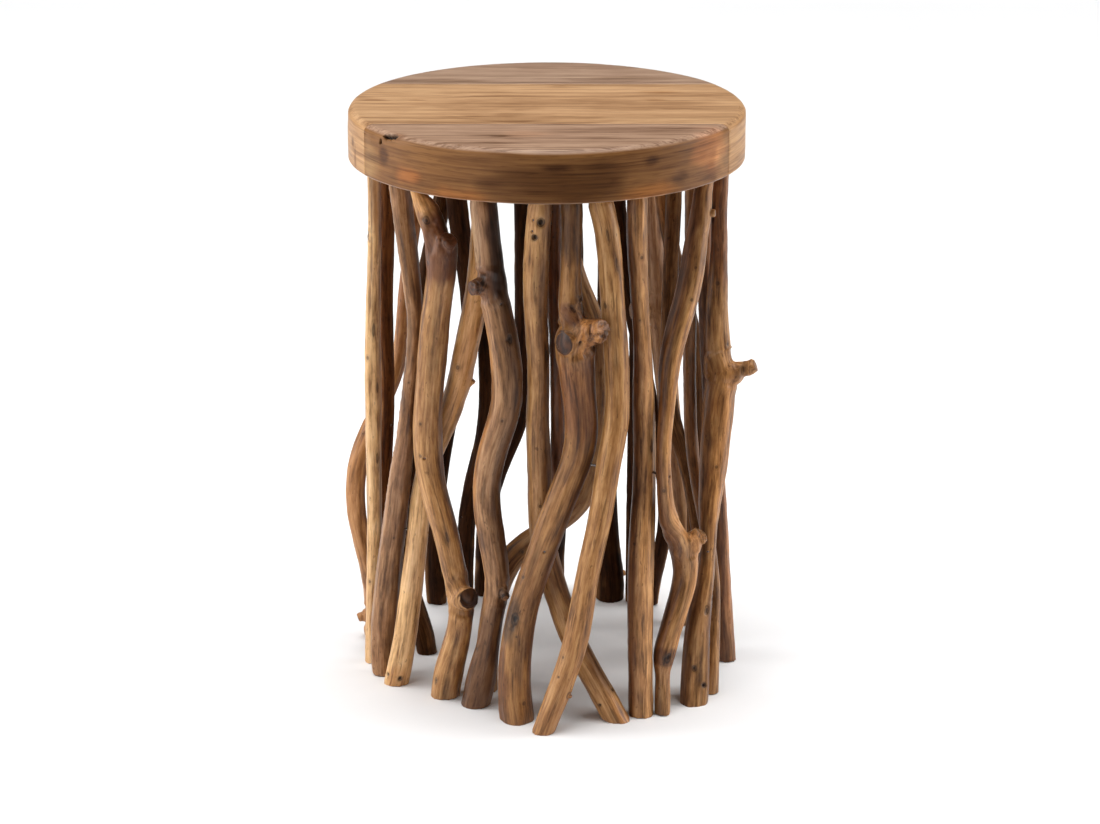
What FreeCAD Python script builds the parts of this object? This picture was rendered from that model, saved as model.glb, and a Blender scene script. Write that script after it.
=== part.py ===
"""Round side table: a thick plank top on a ring of crooked branches.

Millimetres, +Z up. The origin is on the floor under the centre of the top, and +X is to the right of
someone who stands in front of the table (at -Y). The grain of the three top boards runs along X.
"""

import FreeCAD
import Part

import math
import os
from dataclasses import dataclass
from functools import cached_property

Vector = FreeCAD.Vector
UP = Vector(0, 0, 1)

# The top, a disc of three boards glued edge to edge
TABLE_HEIGHT = 450.0
TOP_DIAMETER = 302.0
TOP_THICKNESS = 40.0
TOP_EDGE_ROUND = 6.0
UNDER_EDGE_ROUND = 2.5
MIDDLE_BOARD_WIDTH = 134.0

# The ring of branches, which stands in from the rim of the top
RING_INSET = 27.0
BRANCH_OVAL = 0.04
BRANCH_CLEARANCE = 0.4

# The round tenon on the head of each branch, glued into a blind bore in the top
TENON_DIAMETER = 6.0
TENON_LENGTH = 18.0
TENON_CLEARANCE = 0.1
BORE_END_GAP = 1.0

# The headless nails that hold crossing branches together
NAIL_DIAMETER = 2.0
NAIL_SINK = 1.0
NAIL_BITE = 4.0

# How a branch is drawn: its sides, where a stub has its waist, and the steps that gaps are measured at
BRANCH_SIDES = 10
WAIST_PLACE = 0.55
CLEARANCE_SAMPLES = 48
LEAST_LEAN = 1e-9

BRANCH_HEIGHT = TABLE_HEIGHT - TOP_THICKNESS
RING_RADIUS = TOP_DIAMETER / 2 - RING_INSET


def heading_vector(bearing):
    """Level unit vector of a bearing in degrees, counted from +X towards +Y."""
    turn = math.radians(bearing)
    return Vector(math.cos(turn), math.sin(turn), 0)


@dataclass(frozen=True)
class Stub:
    """A side limb that was cut off short.

    height is where it leaves the branch, as a share of the branch's height. It points to a bearing and
    rises by so many degrees. length runs from the branch's centreline to the cut, and root, waist and
    tip are its thicknesses.
    """

    height: float
    bearing: float
    rise: float
    length: float
    root: float
    waist: float
    tip: float

    def solid(self, start, grown):
        """Tapered limb from a point on the branch's centreline, thicker all round by grown."""
        steps = ((0.0, self.root), (WAIST_PLACE * self.length, self.waist), (self.length + grown, self.tip))
        outline = [Vector(thick / 2 + grown, 0, along) for along, thick in steps]
        outline += [Vector(0, 0, self.length + grown), Vector(0, 0, 0), outline[0]]
        limb = Part.Face(Part.makePolygon(outline)).revolve(Vector(), UP, 360)
        limb.Placement = FreeCAD.Placement(start, FreeCAD.Rotation(UP, self.direction))
        return limb

    @property
    def direction(self):
        """Unit vector along the limb."""
        rise = math.radians(self.rise)
        return heading_vector(self.bearing) * math.cos(rise) + UP * math.sin(rise)


@dataclass(frozen=True)
class Branch:
    """One crooked branch, cut level at the floor and at the underside of the top.

    Each station is (height, bearing, out, thickness): its height as a share of the branch's height, the
    bearing it stands at, how far it stands out from the ring and how thick the branch is there.
    """

    name: str
    stations: tuple
    stubs: tuple = ()

    @cached_property
    def centreline(self):
        """Curve through the stations, whose parameter is the share of the height."""
        points = []
        for height, bearing, out, _ in self.stations:
            points.append(heading_vector(bearing) * (RING_RADIUS + out) + UP * (height * BRANCH_HEIGHT))
        curve = Part.BSplineCurve()
        curve.interpolate(Points=points, Parameters=[station[0] for station in self.stations])
        return curve

    def centre(self, height):
        """Point on the centreline at a share of the height."""
        return self.centreline.value(height)

    def slope(self, height):
        """Sideways travel of the centreline per millimetre of height, as a level vector."""
        along = self.centreline.getD1(height)[1]
        return Vector(along.x, along.y, 0) / along.z

    def thickness(self, height):
        """Thickness at a share of the height, in proportion between two stations."""
        for low, high in zip(self.stations, self.stations[1:]):
            if height <= high[0]:
                share = (height - low[0]) / (high[0] - low[0])
                return low[3] + share * (high[3] - low[3])
        return self.stations[-1][3]

    def corner(self, station, side, grown):
        """One corner of the level section at a station: a round branch cut aslant, wider along its lean."""
        height, bearing, _, thick = station
        turn = 360 * side / BRANCH_SIDES
        oval = 1 + BRANCH_OVAL * math.cos(2 * math.radians(turn - bearing))
        spoke = heading_vector(turn) * (thick / 2 * oval + grown)
        slope = self.slope(height)
        stretch = (math.sqrt(1 + slope.dot(slope)) - 1) / max(slope.dot(slope), LEAST_LEAN)
        return self.centre(height) + spoke + slope * (spoke.dot(slope) * stretch)

    def strand(self, side, grown):
        """Edge that runs up one side of the branch, from its foot to its head."""
        curve = Part.BSplineCurve()
        corners = [self.corner(station, side, grown) for station in self.stations]
        curve.interpolate(Points=corners, Parameters=[station[0] for station in self.stations])
        return curve.toShape()

    def solid(self, grown=0.0):
        """The branch with its stubs, thicker all round by grown."""
        strands = [self.strand(side, grown) for side in range(BRANCH_SIDES)]
        neighbours = strands[1:] + strands[:1]
        faces = [Part.makeRuledSurface(*pair) for pair in zip(strands, neighbours)]
        for end in (0, -1):
            rim = [self.corner(self.stations[end], side, grown) for side in range(BRANCH_SIDES)]
            faces.append(Part.Face(Part.makePolygon(rim + rim[:1])))
        shell = Part.makeShell(faces)
        shell.sewShape()
        body = Part.makeSolid(shell)
        for stub in self.stubs:
            body = body.fuse(stub.solid(self.centre(stub.height), grown))
        return one_solid(body)

    def tenon(self, clearance=0.0, end_gap=0.0):
        """Round tenon along the axis of the head, or with a clearance and a gap the bore that takes it."""
        lean = self.slope(1.0)
        way = lean + UP
        way.normalize()
        radius = TENON_DIAMETER / 2 + clearance
        root = radius * lean.Length
        length = root + TENON_LENGTH + end_gap
        return Part.makeCylinder(radius, length, self.centre(1.0) - way * root, way)

    @cached_property
    def balls(self):
        """Balls that fill the branch and its stubs, as (centre, radius)."""
        filled = []
        for sample in range(CLEARANCE_SAMPLES + 1):
            height = sample / CLEARANCE_SAMPLES
            filled.append((self.centre(height), self.thickness(height) / 2 * (1 + BRANCH_OVAL)))
        for stub in self.stubs:
            start = self.centre(stub.height)
            for along, thick in ((WAIST_PLACE * stub.length, stub.waist), (stub.length, stub.tip)):
                filled.append((start + stub.direction * along, thick / 2))
        return filled

    def gap_to(self, other):
        """Least gap to another branch, measured on the balls."""
        return min((a - b).Length - r - s for a, r in self.balls for b, s in other.balls)


LEFT_BRANCHES = (
    Branch("branch_left_straight", (
        (0.00, 184.5, 14.5, 12.0), (0.12, 184.5, 13.0, 12.0), (0.25, 184.5, 11.5, 12.0),
        (0.50, 185.0, 11.0, 12.5), (0.63, 185.0, 10.5, 12.5), (0.78, 185.0, 8.5, 11.0),
        (1.00, 185.0, 7.5, 11.5),
    )),
    Branch("branch_left_slender", (
        (0.00, 171.5, 7.5, 10.5), (0.18, 171.0, 7.0, 10.5), (0.35, 171.0, 5.0, 10.0),
        (0.51, 172.0, 1.5, 10.0), (0.70, 171.5, 2.0, 11.0), (0.85, 171.0, 0.5, 11.5),
        (1.00, 171.5, -0.5, 11.0),
    )),
    Branch("branch_left_bowed", (
        (0.00, 161.5, 25.0, 13.0), (0.10, 165.5, 21.0, 13.0), (0.19, 171.0, 22.5, 13.5),
        (0.27, 173.0, 27.0, 15.0), (0.33, 173.5, 28.0, 15.5), (0.39, 172.5, 25.0, 15.0),
        (0.45, 169.0, 17.0, 14.0), (0.53, 161.5, 4.0, 12.5), (0.63, 155.5, 0.5, 11.5),
        (0.72, 153.5, -1.0, 11.0), (0.86, 147.0, -2.0, 11.5), (1.00, 144.0, -3.0, 11.5),
    ), (
        Stub(0.05, 185.0, -20.0, 13.0, 12.0, 9.0, 6.5),
    )),
    Branch("branch_left_leaning", (
        (0.00, 196.0, 8.5, 17.0), (0.09, 195.5, 8.0, 19.5), (0.17, 198.5, 7.0, 19.0),
        (0.25, 200.5, 5.0, 17.5), (0.34, 205.0, 4.0, 16.5), (0.42, 208.5, 3.5, 15.5),
        (0.50, 212.5, 3.5, 13.0), (0.59, 215.0, 3.0, 11.0), (0.68, 218.0, 3.0, 11.0),
        (0.76, 218.5, 2.5, 12.0), (0.83, 216.5, 2.5, 13.0), (0.92, 212.5, 2.0, 14.0),
        (1.00, 209.5, 2.5, 14.0),
    )),
    Branch("branch_left_crossing", (
        (0.00, 205.0, 5.5, 18.0), (0.08, 207.0, 0.5, 18.0), (0.20, 208.5, -5.5, 17.5),
        (0.31, 210.0, -10.0, 16.5), (0.40, 211.0, -14.0, 16.5), (0.47, 213.5, -20.0, 17.0),
        (0.54, 220.0, -25.5, 18.0), (0.61, 227.0, -25.5, 18.0), (0.70, 233.5, -25.0, 18.0),
        (0.80, 238.5, -24.5, 17.5), (1.00, 241.5, -26.0, 16.0),
    ), (
        Stub(0.585, 335.0, 42.0, 22.0, 12.0, 8.0, 4.0),
    )),
    Branch("branch_left_propped", (
        (0.00, 175.0, -28.0, 16.0), (0.07, 169.5, -19.5, 16.0), (0.13, 162.0, -6.5, 16.0),
        (0.20, 155.0, 0.0, 16.0), (0.28, 151.0, 3.0, 15.5), (0.40, 147.0, 4.0, 15.0),
        (0.55, 143.5, 2.0, 14.5), (0.70, 141.0, 0.0, 14.0), (0.85, 134.5, -5.5, 14.0),
        (1.00, 132.5, -8.0, 14.0),
    )),
)

FRONT_BRANCHES = (
    Branch("branch_front_elbow", (
        (0.00, 225.5, -12.0, 22.0), (0.045, 227.5, -11.5, 23.0), (0.11, 232.0, -10.5, 20.5),
        (0.18, 235.0, -9.5, 18.5), (0.25, 233.0, -8.0, 18.0), (0.37, 227.0, -6.0, 19.5),
        (0.44, 222.5, -5.0, 20.5), (0.52, 221.5, -3.5, 21.5), (0.62, 224.0, -2.0, 21.5),
        (0.80, 230.0, 0.5, 22.0), (0.86, 232.0, 1.5, 22.5), (0.90, 230.5, 2.0, 20.0),
        (0.935, 227.0, 3.0, 15.5), (0.965, 223.5, 3.5, 12.0), (1.00, 220.5, 4.0, 10.5),
    ), (
        Stub(0.87, 300.0, 55.0, 21.0, 20.0, 17.0, 12.0),
        Stub(0.21, 300.0, 15.0, 16.0, 20.0, 18.0, 16.0),
    )),
    Branch("branch_front_wavy", (
        (0.00, 240.5, -12.5, 22.0), (0.07, 244.0, -11.5, 21.5), (0.135, 247.0, -11.0, 16.5),
        (0.19, 249.0, -10.5, 16.0), (0.24, 250.5, -10.5, 17.5), (0.30, 250.0, -9.5, 19.5),
        (0.425, 247.0, -8.0, 20.5), (0.485, 248.5, -7.5, 21.0), (0.545, 252.0, -6.5, 22.5),
        (0.60, 255.0, -6.0, 23.5), (0.67, 255.5, -5.5, 23.5), (0.735, 254.0, -5.0, 22.5),
        (0.80, 251.5, -4.0, 22.0), (0.86, 250.0, -3.5, 21.0), (1.00, 247.0, -2.5, 21.0),
    ), (
        Stub(0.83, 215.0, 0.0, 18.0, 16.0, 12.5, 11.0),
        Stub(0.26, 297.0, -35.0, 18.5, 9.5, 7.5, 6.5),
    )),
    Branch("branch_front_kicked", (
        (0.00, 292.5, 13.5, 19.0), (0.065, 287.5, 1.0, 19.0), (0.135, 281.0, -9.0, 19.0),
        (0.21, 275.5, -15.5, 19.0), (0.285, 270.5, -20.0, 19.0), (0.37, 267.5, -20.0, 18.5),
        (0.47, 267.0, -16.0, 18.5), (0.57, 266.5, -13.0, 17.5), (0.65, 267.0, -10.0, 16.0),
        (0.74, 266.5, -7.0, 16.5), (0.81, 266.0, -4.5, 18.5), (0.88, 266.5, -2.5, 19.5),
        (0.93, 267.0, -1.0, 18.5), (1.00, 268.0, 0.5, 17.0),
    ), (
        Stub(0.17, 330.0, 45.0, 14.0, 7.0, 5.0, 4.0),
    )),
    Branch("branch_front_inner", (
        (0.00, 248.5, -64.0, 11.0), (0.10, 254.0, -66.0, 11.0), (0.20, 262.0, -65.5, 10.5),
        (0.37, 276.0, -58.5, 10.5), (0.45, 275.5, -39.5, 10.5), (0.56, 274.5, -23.5, 10.0),
        (0.73, 273.5, -19.0, 10.0), (1.00, 273.5, -19.0, 10.0),
    )),
    Branch("branch_front_diagonal", (
        (0.00, 236.5, -40.0, 17.0), (0.08, 237.0, -39.5, 17.0), (0.18, 242.5, -36.0, 17.5),
        (0.25, 248.0, -35.5, 19.0), (0.297, 256.0, -39.5, 18.5), (0.337, 270.5, -41.0, 17.0),
        (0.378, 284.5, -37.0, 16.0), (0.445, 291.0, -33.0, 15.5), (0.53, 294.0, -29.5, 15.0),
        (0.63, 294.5, -28.5, 14.5), (0.72, 293.0, -29.0, 14.5), (0.77, 289.5, -29.0, 14.5),
        (0.83, 283.5, -29.5, 14.0), (0.89, 280.5, -30.0, 14.0), (1.00, 279.5, -30.0, 14.0),
    )),
    Branch("branch_front_knuckle", (
        (0.00, 260.0, 4.0, 26.5), (0.08, 259.0, 4.0, 25.5), (0.16, 260.0, 3.0, 24.5),
        (0.22, 262.0, 3.0, 23.5), (0.34, 269.0, 2.5, 22.5), (0.46, 277.0, 2.0, 23.5),
        (0.52, 281.0, 1.0, 25.0), (0.58, 282.0, 1.0, 25.5), (0.66, 280.5, 1.0, 26.0),
        (0.72, 279.5, 1.0, 27.0), (0.76, 278.5, 1.0, 21.0), (0.82, 278.0, 0.5, 16.5),
        (1.00, 278.0, 0.0, 16.0),
    ), (
        Stub(0.73, 320.0, 18.0, 29.0, 22.0, 19.0, 17.5),
        Stub(0.72, 240.0, 5.0, 17.5, 20.0, 17.0, 14.5),
    )),
    Branch("branch_front_outer", (
        (0.00, 269.0, 27.0, 16.5), (0.07, 273.0, 25.0, 18.0), (0.13, 276.5, 23.5, 18.5),
        (0.29, 282.0, 21.0, 18.0), (0.43, 287.0, 18.0, 18.0), (0.50, 289.0, 16.5, 18.5),
        (0.57, 291.5, 14.0, 19.0), (0.64, 292.5, 11.5, 19.0), (0.79, 292.0, 6.0, 19.0),
        (0.92, 290.5, 2.5, 18.5), (1.00, 287.5, 0.0, 18.0),
    ), (
        Stub(0.07, 335.0, 10.0, 12.0, 9.0, 6.5, 5.0),
    )),
)

RIGHT_BRANCHES = (
    Branch("branch_right_post", (
        (0.00, 301.5, 14.0, 19.0), (0.20, 301.5, 11.0, 19.5), (0.32, 302.5, 8.0, 19.5),
        (0.42, 304.5, 4.5, 17.5), (0.51, 305.5, 2.5, 17.0), (0.61, 304.5, 3.5, 16.0),
        (0.69, 303.5, 5.0, 14.0), (0.78, 302.5, 4.5, 13.0), (0.87, 301.5, 4.0, 14.5),
        (1.00, 301.5, 3.5, 14.5),
    )),
    Branch("branch_right_forked", (
        (0.00, 307.0, 22.5, 11.5), (0.05, 308.0, 19.5, 11.5), (0.09, 308.5, 18.0, 12.5),
        (0.11, 309.0, 17.5, 17.0), (0.13, 310.0, 17.5, 16.5), (0.19, 314.5, 17.0, 17.5),
        (0.27, 319.5, 15.5, 18.5), (0.33, 315.0, 16.0, 18.0), (0.38, 310.0, 18.5, 14.5),
        (0.44, 307.5, 21.0, 11.5), (0.53, 307.5, 19.5, 11.0), (0.60, 310.5, 14.0, 12.5),
        (0.68, 314.0, 9.0, 16.5), (0.80, 324.5, 6.5, 17.5), (0.86, 329.5, 4.5, 17.5),
        (0.92, 334.0, 3.0, 15.5), (1.00, 340.5, 3.0, 12.5),
    ), (
        Stub(0.30, 345.0, 50.0, 21.0, 17.0, 15.0, 13.0),
        Stub(0.925, 350.0, 0.0, 11.5, 10.0, 7.0, 5.5),
    )),
    Branch("branch_right_hooked", (
        (0.00, 320.5, 23.0, 21.0), (0.06, 323.0, 20.0, 21.0), (0.125, 324.5, 18.5, 19.5),
        (0.18, 327.0, 17.5, 16.0), (0.23, 330.5, 16.5, 13.0), (0.30, 333.0, 15.5, 13.0),
        (0.36, 335.0, 14.0, 16.0), (0.43, 339.0, 13.0, 20.0), (0.49, 341.5, 12.5, 22.0),
        (0.55, 344.5, 13.0, 23.5), (0.61, 346.5, 11.5, 22.0), (0.67, 348.0, 9.0, 20.0),
        (0.74, 349.0, 8.0, 17.0), (0.80, 350.0, 8.5, 14.0), (0.87, 350.5, 8.5, 12.0),
        (1.00, 350.5, 10.0, 11.5),
    ), (
        Stub(0.593, 350.0, 22.0, 30.0, 24.0, 15.0, 9.5),
    )),
    Branch("branch_right_slender", (
        (0.00, 329.5, 24.0, 11.0), (0.08, 332.0, 21.5, 11.0), (0.17, 337.0, 16.5, 10.5),
        (0.30, 339.5, 8.0, 10.0), (0.38, 342.0, -1.5, 10.0), (0.45, 344.5, -7.5, 10.0),
        (0.60, 347.0, -11.5, 10.0), (0.80, 347.5, -12.0, 10.0), (1.00, 348.0, -12.0, 10.5),
    )),
    Branch("branch_right_straight", (
        (0.00, -3.0, 19.5, 14.5), (0.08, -2.5, 16.5, 14.5), (0.24, 0.0, 12.5, 14.0),
        (0.36, 2.0, 9.5, 13.5), (0.48, 3.5, 5.5, 12.5), (0.65, 5.5, 1.0, 12.5),
        (1.00, 8.0, -1.0, 12.5),
    )),
    Branch("branch_right_inner", (
        (0.00, 3.0, 6.0, 14.0), (0.15, 4.0, 2.0, 14.0), (0.30, 5.0, -6.0, 13.5),
        (0.37, 5.0, -12.0, 13.0), (0.48, 6.0, -25.0, 12.5), (0.60, 7.0, -29.0, 12.0),
        (0.80, 8.0, -27.0, 12.0), (1.00, 8.0, -26.0, 12.0),
    )),
    Branch("branch_right_tilted", (
        (0.00, 20.0, 11.0, 15.0), (0.30, 23.5, 6.0, 14.5), (0.48, 23.5, 5.5, 14.5),
        (0.60, 23.5, 2.0, 14.0), (0.69, 24.0, -6.5, 13.5), (0.79, 24.0, -17.0, 12.5),
        (1.00, 23.0, -30.0, 12.5),
    )),
)

BACK_BRANCHES = (
    Branch("branch_back_right_stubbed", (
        (0.00, 32.5, 8.0, 15.5), (0.30, 35.0, 5.0, 15.5), (0.50, 40.0, 1.0, 17.5),
        (0.75, 44.5, -3.0, 17.5), (1.00, 46.5, -6.0, 16.0),
    ), (
        Stub(0.645, 194.0, -3.0, 24.0, 15.0, 13.0, 12.0),
    )),
    Branch("branch_back_right_curved", (
        (0.00, 53.0, 18.5, 12.0), (0.08, 49.5, 14.0, 12.0), (0.14, 45.5, 10.0, 12.0), (0.25, 43.0, 8.0, 12.5),
        (0.45, 47.0, -2.0, 12.5), (0.55, 50.0, -7.0, 12.5), (0.70, 56.0, -11.0, 12.5),
        (1.00, 58.0, -12.0, 12.5),
    )),
    Branch("branch_back_right_post", (
        (0.00, 59.0, 16.0, 14.0), (0.30, 57.5, 11.5, 14.5), (0.60, 56.5, 10.0, 15.0),
        (1.00, 56.0, 8.0, 14.5),
    )),
    Branch("branch_back_stout", (
        (0.00, 67.5, 14.5, 23.5), (0.08, 68.0, 14.0, 22.0), (0.17, 69.0, 13.0, 20.0),
        (0.30, 69.0, 11.0, 18.0), (0.60, 67.5, 5.0, 17.0), (1.00, 66.0, 1.0, 16.0),
    ), (
        Stub(0.04, 40.0, 10.0, 16.0, 9.0, 6.5, 5.0),
    )),
    Branch("branch_back_splayed", (
        (0.00, 87.5, 27.0, 16.0), (0.15, 86.5, 15.5, 15.5), (0.30, 84.0, 7.0, 15.0),
        (0.50, 80.5, 4.0, 15.0), (0.75, 80.0, 2.0, 14.5), (1.00, 80.5, 0.0, 14.5),
    )),
    Branch("branch_back_inner", (
        (0.00, 111.0, 23.5, 15.0), (0.13, 112.0, 12.0, 15.0), (0.20, 112.0, 5.5, 14.5),
        (0.26, 110.5, -2.0, 14.5), (0.31, 108.0, -8.0, 14.5), (0.36, 104.5, -13.5, 14.5),
        (0.42, 101.5, -17.0, 14.5), (0.52, 100.5, -18.0, 14.5), (0.65, 100.0, -19.0, 14.5),
        (0.84, 100.5, -21.5, 14.5), (1.00, 100.5, -21.5, 14.0),
    )),
    Branch("branch_back_left_leaning", (
        (0.00, 119.5, 14.5, 15.0), (0.13, 121.5, 4.0, 15.0), (0.26, 121.0, -6.0, 14.5),
        (0.39, 117.0, -16.0, 14.5), (0.50, 117.0, -19.0, 14.0), (0.62, 118.0, -20.0, 13.5),
        (0.75, 117.0, -19.5, 13.0), (1.00, 116.5, -19.0, 13.0),
    )),
    Branch("branch_back_left_post", (
        (0.00, 127.5, 26.0, 16.0), (0.20, 130.5, 17.0, 16.0), (0.33, 130.5, 7.5, 15.0),
        (0.45, 129.5, -7.0, 14.0), (0.56, 127.5, -21.5, 14.0), (0.66, 129.0, -27.0, 14.5),
        (0.80, 134.5, -28.0, 15.5), (1.00, 138.0, -29.0, 15.5),
    )),
)

BRANCHES = LEFT_BRANCHES + FRONT_BRANCHES + RIGHT_BRANCHES + BACK_BRANCHES

# Nailed pairs: the branch that the nail enters, the branch that it holds, and the share of the height
NAILED_PAIRS = (
    ("branch_front_outer", "branch_front_knuckle", 0.50),
    ("branch_front_knuckle", "branch_front_kicked", 0.34),
    ("branch_front_kicked", "branch_front_diagonal", 0.33),
    ("branch_front_kicked", "branch_front_inner", 0.939),
    ("branch_front_kicked", "branch_front_inner", 0.960),
    ("branch_front_elbow", "branch_left_crossing", 0.48),
    ("branch_front_wavy", "branch_left_crossing", 0.80),
    ("branch_left_leaning", "branch_left_crossing", 0.31),
    ("branch_right_forked", "branch_right_post", 0.47),
    ("branch_left_bowed", "branch_left_slender", 0.46),
    ("branch_right_hooked", "branch_right_slender", 0.28),
    ("branch_back_left_leaning", "branch_back_inner", 0.20),
)


def one_solid(shape):
    """The single solid that a shape holds."""
    solids = shape.Solids
    if len(solids) != 1:
        raise ValueError(f"expected one solid, found {len(solids)}")
    return solids[0]


def top_disc():
    """The whole round top, with its edges rounded."""
    disc = Part.makeCylinder(TOP_DIAMETER / 2, TOP_THICKNESS, UP * BRANCH_HEIGHT)
    for level, rounding in ((TABLE_HEIGHT, TOP_EDGE_ROUND), (BRANCH_HEIGHT, UNDER_EDGE_ROUND)):
        rim = [edge for edge in disc.Edges if all(math.isclose(end.Z, level) for end in edge.Vertexes)]
        disc = disc.makeFillet(rounding, rim)
    return disc


def top_boards():
    """The three boards of the top by name, with the blind bores for the tenons."""
    bores = [branch.tenon(TENON_CLEARANCE, BORE_END_GAP) for branch in BRANCHES]
    disc = top_disc().cut(bores)
    rim = TOP_DIAMETER / 2
    seam = MIDDLE_BOARD_WIDTH / 2
    boards = {}
    for name, near, far in (
        ("top_board_front", -rim, -seam),
        ("top_board_middle", -seam, seam),
        ("top_board_back", seam, rim),
    ):
        slab = Part.makeBox(TOP_DIAMETER, far - near, TOP_THICKNESS, Vector(-rim, near, BRANCH_HEIGHT))
        boards[name] = one_solid(disc.common(slab))
    return boards


def nail(entered, held, height):
    """Level headless nail through one branch into another, and the bore that it leaves open behind it."""
    start = entered.centre(height)
    way = held.centre(height) - start
    depth = way.Length + NAIL_BITE
    way.normalize()
    thick = entered.thickness(height)
    back = thick / 2 - NAIL_SINK
    pin = Part.makeCylinder(NAIL_DIAMETER / 2, back + depth, start - way * back, way)
    bore = Part.makeCylinder(NAIL_DIAMETER / 2, thick + depth, start - way * thick, way)
    return pin, bore


def fitted_branches():
    """Every branch by name, hollowed out where it would run into one that is already in place."""
    fitted = {}
    for place, branch in enumerate(BRANCHES):
        solid = branch.solid()
        for earlier in BRANCHES[:place]:
            if branch.gap_to(earlier) < BRANCH_CLEARANCE:
                solid = solid.cut(earlier.solid(BRANCH_CLEARANCE))
        fitted[branch.name] = solid
    return fitted


def build():
    """All the pieces of the table by name."""
    pieces = fitted_branches()
    by_name = {branch.name: branch for branch in BRANCHES}
    nails = []
    for entered, held, height in NAILED_PAIRS:
        pin, bore = nail(by_name[entered], by_name[held], height)
        nails.append(pin)
        for name in (entered, held):
            pieces[name] = pieces[name].cut(bore)
    for branch in BRANCHES:
        pieces[branch.name] = one_solid(pieces[branch.name].fuse(branch.tenon()))
    pieces.update(top_boards())
    pieces["branch_nails"] = Part.makeCompound(nails)
    return pieces


def main():
    """Write one STEP file for each piece."""
    os.makedirs("parts", exist_ok=True)
    for name, shape in build().items():
        shape.exportStep(f"parts/{name}.step")


main()
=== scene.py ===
"""Looks of the round side table: a top of three boards on a ring of crooked, peeled branches.

Metres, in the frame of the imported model: +Z up, the front at -Y and the floor at z = 0.
"""

import logging
import math
from dataclasses import dataclass
from enum import Enum
from functools import cache
from itertools import product

import bmesh
import bpy
import numpy as np
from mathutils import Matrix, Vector


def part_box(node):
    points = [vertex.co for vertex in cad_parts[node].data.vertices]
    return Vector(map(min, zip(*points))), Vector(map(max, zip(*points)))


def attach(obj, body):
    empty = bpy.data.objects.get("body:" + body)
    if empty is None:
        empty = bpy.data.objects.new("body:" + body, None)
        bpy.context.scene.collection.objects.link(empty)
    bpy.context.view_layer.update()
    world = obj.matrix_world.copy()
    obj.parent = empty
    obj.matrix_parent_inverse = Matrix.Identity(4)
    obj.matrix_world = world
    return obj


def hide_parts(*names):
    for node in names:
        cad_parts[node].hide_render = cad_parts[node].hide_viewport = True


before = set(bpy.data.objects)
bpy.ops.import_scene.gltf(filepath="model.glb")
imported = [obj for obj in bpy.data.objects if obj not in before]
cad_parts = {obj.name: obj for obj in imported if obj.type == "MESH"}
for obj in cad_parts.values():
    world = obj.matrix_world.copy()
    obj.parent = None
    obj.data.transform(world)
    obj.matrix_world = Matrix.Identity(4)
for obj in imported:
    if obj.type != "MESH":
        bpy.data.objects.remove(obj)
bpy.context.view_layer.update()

LOG = logging.getLogger("table")

Colour = tuple[float, float, float]
Triple = tuple[float, float, float]
Socket = bpy.types.NodeSocket

MM = 0.001
MERGE = 1e-6

# Sizes of the top, without the noise of single precision.
DIGITS = 6
TOP_LOW, TOP_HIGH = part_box("top_board_middle")
TOP_UNDERSIDE, TOP_FACE = round(TOP_LOW.z, DIGITS), round(TOP_HIGH.z, DIGITS)
TOP_RADIUS = round(TOP_HIGH.x, DIGITS)
TOP_EDGE_ROUND = 6 * MM
UNDER_EDGE_ROUND = 2.5 * MM

# Large numbers that scatter the corners of the noise's lattice, and the bits that are kept of the result.
LATTICE_PRIMES = np.array((73856093, 19349663, 83492791))
SEED_PRIME = 2654435761
MIX_PRIME = 1274126177
NOISE_BITS = 0xFFFF


def smooth_step(low: float, high: float, values: np.ndarray) -> np.ndarray:
    """Soft rise from 0 at low to 1 at high.

    Args:
        low: Value up to which the result is 0.
        high: Value from which the result is 1.
        values: Values to weigh.

    Returns:
        One weight for each value.
    """
    share = np.clip((values - low) / (high - low), 0.0, 1.0)
    return share * share * (3.0 - 2.0 * share)


def lattice_noise(points: np.ndarray, seed: int) -> np.ndarray:
    """Smooth noise from about -1 to 1, with lumps one unit wide.

    Args:
        points: Places, one row of three each.
        seed: Number of the pattern.

    Returns:
        One value for each place.
    """
    cell = np.floor(points).astype(np.int64)
    part = points - cell
    blend = part**3 * (part * (part * 6.0 - 15.0) + 10.0)
    total = np.zeros(len(points))
    for corner in product((0, 1), repeat=3):
        weight = np.prod(np.where(corner, blend, 1.0 - blend), axis=1)
        x, y, z = ((cell + corner) * LATTICE_PRIMES).T
        mixed = x ^ y ^ z ^ (seed * SEED_PRIME)
        mixed = (mixed ^ (mixed >> 13)) * MIX_PRIME
        mixed = (mixed ^ (mixed >> 16)) & NOISE_BITS
        total += weight * (mixed / (NOISE_BITS / 2) - 1.0)
    return total


def averaged(rows: np.ndarray, reach: int, **padding: str) -> np.ndarray:
    """Rows averaged with their neighbours.

    Args:
        rows: Values, one row each.
        reach: Number of neighbours on each side.
        padding: How the rows go on past their ends, in numpy's words.

    Returns:
        As many rows.
    """
    padded = np.pad(rows, [(reach, reach)] + [(0, 0)] * (rows.ndim - 1), **padding)
    return np.stack([padded[step : step + len(rows)] for step in range(2 * reach + 1)]).mean(0)


def coordinates(mesh: bpy.types.Mesh) -> np.ndarray:
    """Places of a mesh's vertices.

    Args:
        mesh: Mesh to read.

    Returns:
        One row of three for each vertex.
    """
    flat = np.empty(len(mesh.vertices) * 3)
    mesh.vertices.foreach_get("co", flat)
    return flat.reshape(-1, 3)


def move_vertices(mesh: bpy.types.Mesh, places: np.ndarray) -> None:
    """Put a mesh's vertices at new places.

    Args:
        mesh: Mesh to change.
        places: One row of three for each vertex.
    """
    mesh.vertices.foreach_set("co", places.ravel())
    mesh.update()


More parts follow.
